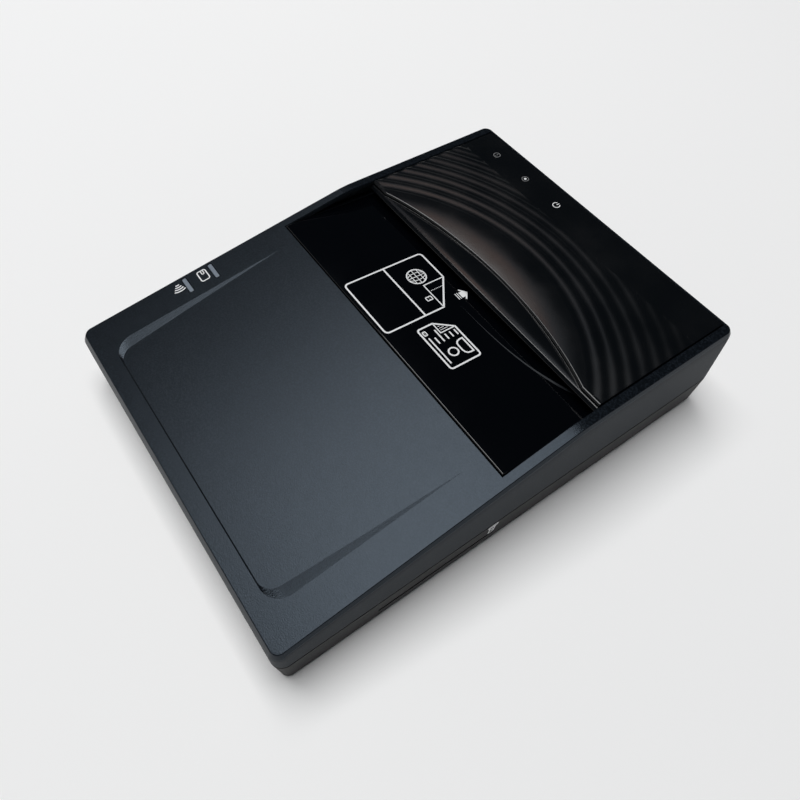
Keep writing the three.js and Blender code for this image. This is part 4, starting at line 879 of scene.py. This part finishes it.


# Prints, and a painted reflection on the glass
class Sheet:
    """Thin figures that lie on one surface, gathered into one piece: prints, and the painted reflection on
    the glass.
    """

    def __init__(self, place, lift=INK):
        self.place = place
        self.lift = lift
        self.points = []
        self.faces = []

    def patch(self, outline):
        """Filled convex figure."""
        first = len(self.points)
        self.points += [(x, y, self.lift) for x, y in outline]
        self.faces.append(tuple(range(first, first + len(outline))))

    def line(self, path, width=LINE, closed=False):
        """Line of even width through the points of a path."""
        count = len(path)
        sides = []
        for i, (x, y) in enumerate(path):
            neighbours = []
            if closed or i:
                neighbours.append((path[i - 1], -1))
            if closed or i + 1 < count:
                neighbours.append((path[(i + 1) % count], 1))
            ways = [Vector((way * (px - x), way * (py - y))).normalized() for (px, py), way in neighbours]
            ahead = sum(ways, Vector((0, 0))).normalized()
            reach = width / 2 / max(0.3, ahead.dot(ways[0]))
            dx, dy = ahead * reach
            sides.append(((x - dy, y + dx), (x + dy, y - dx)))
        for i in range(count if closed else count - 1):
            a, b = sides[i], sides[(i + 1) % count]
            self.patch([a[0], a[1], b[1], b[0]])

    def ring(self, x, y, radius, width=LINE, start=0.0, end=2 * math.pi, flatten=1.0):
        """Round line, or a part of one."""
        closed = end - start > 2 * math.pi - 0.01
        count = RING_STEPS if closed else RING_STEPS + 1
        turns = [start + (end - start) * i / RING_STEPS for i in range(count)]
        path = [(x + radius * flatten * math.cos(t), y + radius * math.sin(t)) for t in turns]
        self.line(path, width, closed)

    def dot(self, x, y, radius):
        turns = [2 * math.pi * i / DOT_STEPS for i in range(DOT_STEPS)]
        self.patch([(x + radius * math.cos(t), y + radius * math.sin(t)) for t in turns])

    def made(self, name, material):
        """One thin closed piece, a little raised above its surface."""
        piece = raw(name, self.points, self.faces, self.place)
        thick = piece.modifiers.new("ink", "SOLIDIFY")
        thick.thickness = self.lift / 2
        thick.offset = -1
        settled(piece)
        return dressed(piece, material)


def rounded_path(left, right, front, rear, radius, skip=None):
    """Rounded rectangle, against the clock from its rear left corner, without the corner named skip."""
    corners = {
        "rear_left": (left + radius, rear - radius, QUARTER),
        "front_left": (left + radius, front + radius, math.pi),
        "front_right": (right - radius, front + radius, -QUARTER),
        "rear_right": (right - radius, rear - radius, 0),
    }
    path = []
    for name, (x, y, start) in corners.items():
        if name == skip:
            continue
        turns = [start + QUARTER * i / CORNER_ARC_STEPS for i in range(CORNER_ARC_STEPS + 1)]
        path += [(x + radius * math.cos(turn), y + radius * math.sin(turn)) for turn in turns]
    return path


def from_left(points):
    """Points of the glass from points in millimetres from the deck's left and front edges."""
    return [(x * MM - DECK_HALF, y * MM - WINDOW_FRONT) for x, y in points]


def passport_figure(sheet):
    """Open passport with one corner folded over."""
    left, right, front, rear = 52.0, 85.4, 102.6, 144.5
    fold_x, fold_y = 70.0, 133.3
    outline = rounded_path(left, right, front, rear, 1.9, "rear_right")
    outline = [*outline, (right, fold_y), (fold_x, rear)]
    sheet.line(from_left(outline), LINE, closed=True)
    sheet.line(from_left([(left, 123.3), (right, 123.3)]), LINE)
    sheet.line(from_left([(fold_x, rear), (fold_x, fold_y), (right, fold_y)]), THIN_LINE)
    for i in range(8):
        x, y = from_left([(74.4, 134.6 + 0.85 * i)])[0]
        sheet.dot(x, y, 0.22 * MM)
    chip_figure(sheet, 77.9, 130.7, 2.2, 2.8)


def globe_figure(sheet):
    x, y = from_left([(63.7, 133.9)])[0]
    radius = 4.5 * MM
    fine = LINE * 0.45
    sheet.ring(x, y, radius, LINE * 0.8)
    sheet.ring(x, y, radius, fine, flatten=0.5)
    sheet.line([(x, y - radius), (x, y + radius)], fine)
    sheet.line([(x - radius, y), (x + radius, y)], fine)
    for side in (-1, 1):
        height = side * radius * 0.5
        reach = math.sqrt(radius ** 2 - height ** 2)
        sheet.line([(x - reach, y + height), (x + reach, y + height)], fine)


def chip_figure(sheet, x, y, width, length):
    """Contact pad of a chip, with its middle left open."""
    path = rounded_path(x - width / 2, x + width / 2, y - length / 2, y + length / 2, 0.4)
    sheet.line(from_left(path), THIN_LINE * 0.9, closed=True)
    sheet.line(from_left([(x - width / 2, y), (x - width / 6, y)]), THIN_LINE * 0.7)
    sheet.line(from_left([(x + width / 6, y), (x + width / 2, y)]), THIN_LINE * 0.7)


def card_figure(sheet):
    """Identity card with one corner folded over, lines of print, a chip and a portrait."""
    left, right, front, rear = 90.7, 115.3, 114.7, 130.6
    fold_x, fold_y = 96.9, 122.9
    outline = rounded_path(left, right, front, rear, 1.3, "rear_left")
    outline = [(fold_x, rear), (left, fold_y), *outline]
    sheet.line(from_left(outline), LINE, closed=True)
    sheet.line(from_left([(fold_x, rear), (fold_x, fold_y), (left, fold_y)]), THIN_LINE)
    bars = [(98.2, 101.4, y) for y in (129.0, 126.5, 124.0)]
    bars += [(94.2, 101.6, 121.5), (97.8, 101.6, 119.0), (96.8, 112.7, 116.6)]
    for start, end, y in bars:
        sheet.line(from_left([(start, y), (end, y)]), LINE * 0.85)
    for x, top in ((93.4, 124.8), (94.5, 126.2), (95.6, 127.6)):
        sheet.line(from_left([(x, 123.8), (x, top)]), THIN_LINE * 0.5)
    chip_figure(sheet, 93.9, 116.6, 2.3, 1.5)
    x, y = from_left([(108.1, 121.3)])[0]
    sheet.ring(x, y, 2.15 * MM, LINE * 0.9)
    shoulders = [(103.9, 129.1), (103.9, 127.6), (104.3, 126.2), (105.3, 125.3), (106.4, 125.1)]
    shoulders += [(109.4, 125.1), (110.7, 125.4), (111.7, 126.3), (112.0, 127.6), (112.0, 129.1)]
    sheet.line(from_left(shoulders), LINE * 0.9, closed=True)


def arrow_figure(sheet):
    """Arrow towards the slot, with a barred tail."""
    for side in (-1, 1):
        wing = [(0, 148.2), (0, 147.0), (3.0, 144.9), (3.4, 145.4)]
        sheet.patch(from_left([(83.5 + side * x, y) for x, y in wing[::side]]))
    sheet.patch(from_left([(81.8, 144.1), (85.2, 144.1), (85.2, 145.7), (83.5, 147.3), (81.8, 145.7)]))
    for y in (143.3, 142.3):
        sheet.line(from_left([(81.6, y), (85.4, y)]), THIN_LINE * 0.75)


def window_prints():
    sheet = Sheet(PANE_PLACE)
    passport_figure(sheet)
    globe_figure(sheet)
    card_figure(sheet)
    arrow_figure(sheet)
    sheet.made("window_prints", WHITE_INK)


def painted_rim_reflection():
    """Painted reflection of the hood's arched edge in the glass: a faint arc on the right half of the glass,
    broader towards its right end.
    """
    sheet = Sheet(PANE_PLACE, INK / 2)
    sides = []
    for i in range(BAND_STEPS + 1):
        share = BAND_START + BAND_REACH * i / BAND_STEPS
        x = BAND_HALF * share
        y = BAND_FRONT - WINDOW_FRONT + BAND_RISE * share ** 3
        half = BAND_WIDTH / 2 * share ** 1.5
        sides.append(((x, y - half), (x, y + half)))
    for (low, high), (next_low, next_high) in zip(sides, sides[1:]):
        sheet.patch([low, next_low, next_high, high])
    sheet.made("painted_rim_reflection", PAINTED_REFLECTION_INK)


def bar_prints():
    """Radio waves and a card beside the light bars."""
    sheet = Sheet(DECK_PLACE @ Matrix.Translation((-DECK_HALF, 0, 0)))
    outline = rounded_path(2.5, 8.8, 54.1, 58.1, 0.9)
    scale = 1 / math.cos(DECK_SLOPE)

    def on_deck(points):
        return [(x * MM, y * scale * MM) for x, y in points]

    sheet.line(on_deck(outline), THIN_LINE, closed=True)
    sheet.line(on_deck(rounded_path(2.6, 4.9, 55.9, 57.0, 0.45)), THIN_LINE * 0.8, closed=True)
    centre_x, centre_y = 1.4 * MM, 44.2 * scale * MM
    for radius in (2.0, 3.3, 4.6, 5.9):
        sheet.ring(centre_x, centre_y, radius * MM, THIN_LINE * 1.1, -0.52, 0.42)
    sheet.made("bar_prints", WHITE_INK)


def light_prints():
    """Grey and white marks on the three status lights."""
    error, data, power = (LIGHT_X[name] for name in ("error", "data", "power"))
    sheet = Sheet(TOP_PLACE)
    sheet.ring(error, LIGHT_Y, 1.7 * MM, MARK_LINE)
    sheet.line([(error, LIGHT_Y - 0.2 * MM), (error, LIGHT_Y + 0.9 * MM)], MARK_LINE)
    sheet.dot(error, LIGHT_Y - 0.85 * MM, 0.25 * MM)
    sheet.ring(data, LIGHT_Y, 1.7 * MM, MARK_LINE)
    sheet.made("light_rings", GREY_INK)
    sheet = Sheet(TOP_PLACE)
    sheet.dot(data, LIGHT_Y, 0.7 * MM)
    sheet.ring(power, LIGHT_Y, 1.75 * MM, MARK_LINE * 1.05, QUARTER + 0.5, QUARTER + 2 * math.pi - 0.5)
    sheet.line([(power, LIGHT_Y + 0.3 * MM), (power, LIGHT_Y + 2.0 * MM)], MARK_LINE * 1.05)
    sheet.made("light_marks", WHITE_INK)


def wall_prints():
    """Card and slot beside the card slot, on the tapered wall of the bottom cover."""
    up = Vector((BELT, 0, PARTING_TOP)).normalized()
    along = Vector((0, 1, 0))
    place = Matrix.Identity(4)
    for column, way in enumerate((along, up * WALL_MARK_STRETCH, along.cross(up))):
        place.col[column] = (*way, 0)
    place.translation = Vector((DECK_HALF, WALL_MARK_Y, 0)) + up * WALL_MARK_FOOT
    sheet = Sheet(place)

    def box(left, right, low, high, radius):
        return rounded_path(left * MM, right * MM, low * MM, high * MM, radius * MM)

    sheet.line(box(-2.3, 2.3, 4.7, 6.3, 0.7), THIN_LINE * 1.2, closed=True)
    sheet.line(box(-1.3, 1.2, 0.2, 5.2, 0.3), THIN_LINE * 1.2, closed=True)
    sheet.line(box(-0.2, 0.6, 1.8, 3.0, 0.2), THIN_LINE * 0.6, closed=True)
    sheet.made("wall_prints", WHITE_INK)


# Carried-over nodes
def dress_nodes():
    """Every shown node of the frame gets its slot's material and broken edges."""
    slots = {sub["node"]: sub["material_slot"] for sub in frame["record"]["subparts"]}
    for name, node in frame["nodes"].items():
        node.data.materials.clear()
        node.data.materials.append(MATERIALS[slots[name]])
        weld = node.modifiers.new("weld", "WELD")
        weld.merge_threshold = 0.005 * MM
        flat = node.modifiers.new("flat", "DECIMATE")
        flat.decimate_type = "DISSOLVE"
        flat.angle_limit = math.radians(1)
        edge = node.modifiers.new("edge", "BEVEL")
        edge.width = EDGE_ROUND if name in ROUNDED_NODES else EDGE_ROUND / 4
        edge.segments = 2
        edge.limit_method = "ANGLE"
        edge.angle_limit = math.radians(35)
        even = node.modifiers.new("even", "WEIGHTED_NORMAL")
        even.keep_sharp = True
        node.data.shade_smooth()


# Camera, floor and light
def camera():
    data = bpy.data.cameras.new("camera")
    data.lens = CAMERA_LENS
    data.sensor_width = 36
    data.shift_x, data.shift_y = CAMERA_SHIFT
    made = bpy.data.objects.new("camera", data)
    bpy.context.scene.collection.objects.link(made)
    turn = (CAMERA_AIM - CAMERA_PLACE).to_track_quat("-Z", "Y").to_matrix().to_4x4()
    made.matrix_world = Matrix.Translation(CAMERA_PLACE) @ turn @ Matrix.Rotation(CAMERA_ROLL, 4, "Z")
    bpy.context.scene.camera = made
    bpy.context.scene.view_settings.view_transform = "Standard"


def floor():
    """Pale floor that keeps the object's shadow."""
    corners = [(x * FLOOR_REACH, y * FLOOR_REACH, 0) for x, y in ((-1, -1), (1, -1), (1, 1), (-1, 1))]
    mesh = bpy.data.meshes.new("floor")
    mesh.from_pydata(corners, [], [(0, 1, 2, 3)])
    made = bpy.data.objects.new("floor", mesh)
    bpy.context.scene.collection.objects.link(made)
    looks = Looks("floor", (0.95, 0.95, 0.95), 0.9, Specular_IOR_Level=0.0)
    looks.tint(looks.ramp(looks.noise(0.4, 2), 0.3, 0.8, 0, 0.3), (0.97, 0.97, 0.96))
    mesh.materials.append(looks.material)


def world():
    """Pale at the horizon and dark overhead."""
    made = bpy.data.worlds.new("studio")
    made.use_nodes = True
    bpy.context.scene.world = made
    nodes, links = made.node_tree.nodes, made.node_tree.links
    split = nodes.new("ShaderNodeSeparateXYZ")
    links.new(nodes.new("ShaderNodeTexCoord").outputs["Generated"], split.inputs["Vector"])
    ramp = nodes.new("ShaderNodeValToRGB")
    links.new(split.outputs["Z"], ramp.inputs["Fac"])
    low, high = ramp.color_ramp.elements
    low.position, low.color = math.sin(HORIZON_TOP), (0.78, 0.78, 0.78, 1)
    high.position, high.color = math.sin(DARK_SKY), (0.013, 0.017, 0.021, 1)
    background = nodes["Background"]
    links.new(ramp.outputs["Color"], background.inputs["Color"])
    background.inputs["Strength"].default_value = 1


def panel(name, across, along, colour, brightness):
    """Level softbox overhead, between two slopes from the object to either side and to front and rear."""
    left, right = (slope * LAMP_HEIGHT for slope in across)
    front, rear = (slope * LAMP_HEIGHT for slope in along)
    data = bpy.data.lights.new(name, "AREA")
    data.shape = "RECTANGLE"
    data.size, data.size_y = right - left, rear - front
    data.energy = brightness * math.pi * data.size * data.size_y
    data.color = colour
    made = bpy.data.objects.new(name, data)
    bpy.context.scene.collection.objects.link(made)
    made.location = ((left + right) / 2, (front + rear) / 2, LAMP_HEIGHT)


def lights():
    """One large softbox, and dim cards that only the polished hood shows."""
    panel("softbox", (-0.62, 0.2), (-0.36, 0.31), (1, 1, 1), 5.9)
    panel("warm_card", (-0.72, -0.56), (0.34, 0.5), (1, 0.67, 0.56), 1.4)
    panel("left_card", (-1.0, -0.76), (0.36, 0.5), (0.86, 0.9, 1), 0.32)
    panel("right_card", (-0.54, -0.3), (0.34, 0.49), (0.8, 0.88, 1), 0.45)
    panel("cool_card", (-0.92, -0.3), (0.49, 0.57), (0.82, 0.9, 1), 0.45)


camera()
floor()
lights()
world()
dress_nodes()
top_cover()
document_hood()
scan_window()
light_bars()
light_guides()
window_prints()
# painted reflection of the hood's arched edge on the glass
painted_rim_reflection()
bar_prints()
light_prints()
wall_prints()
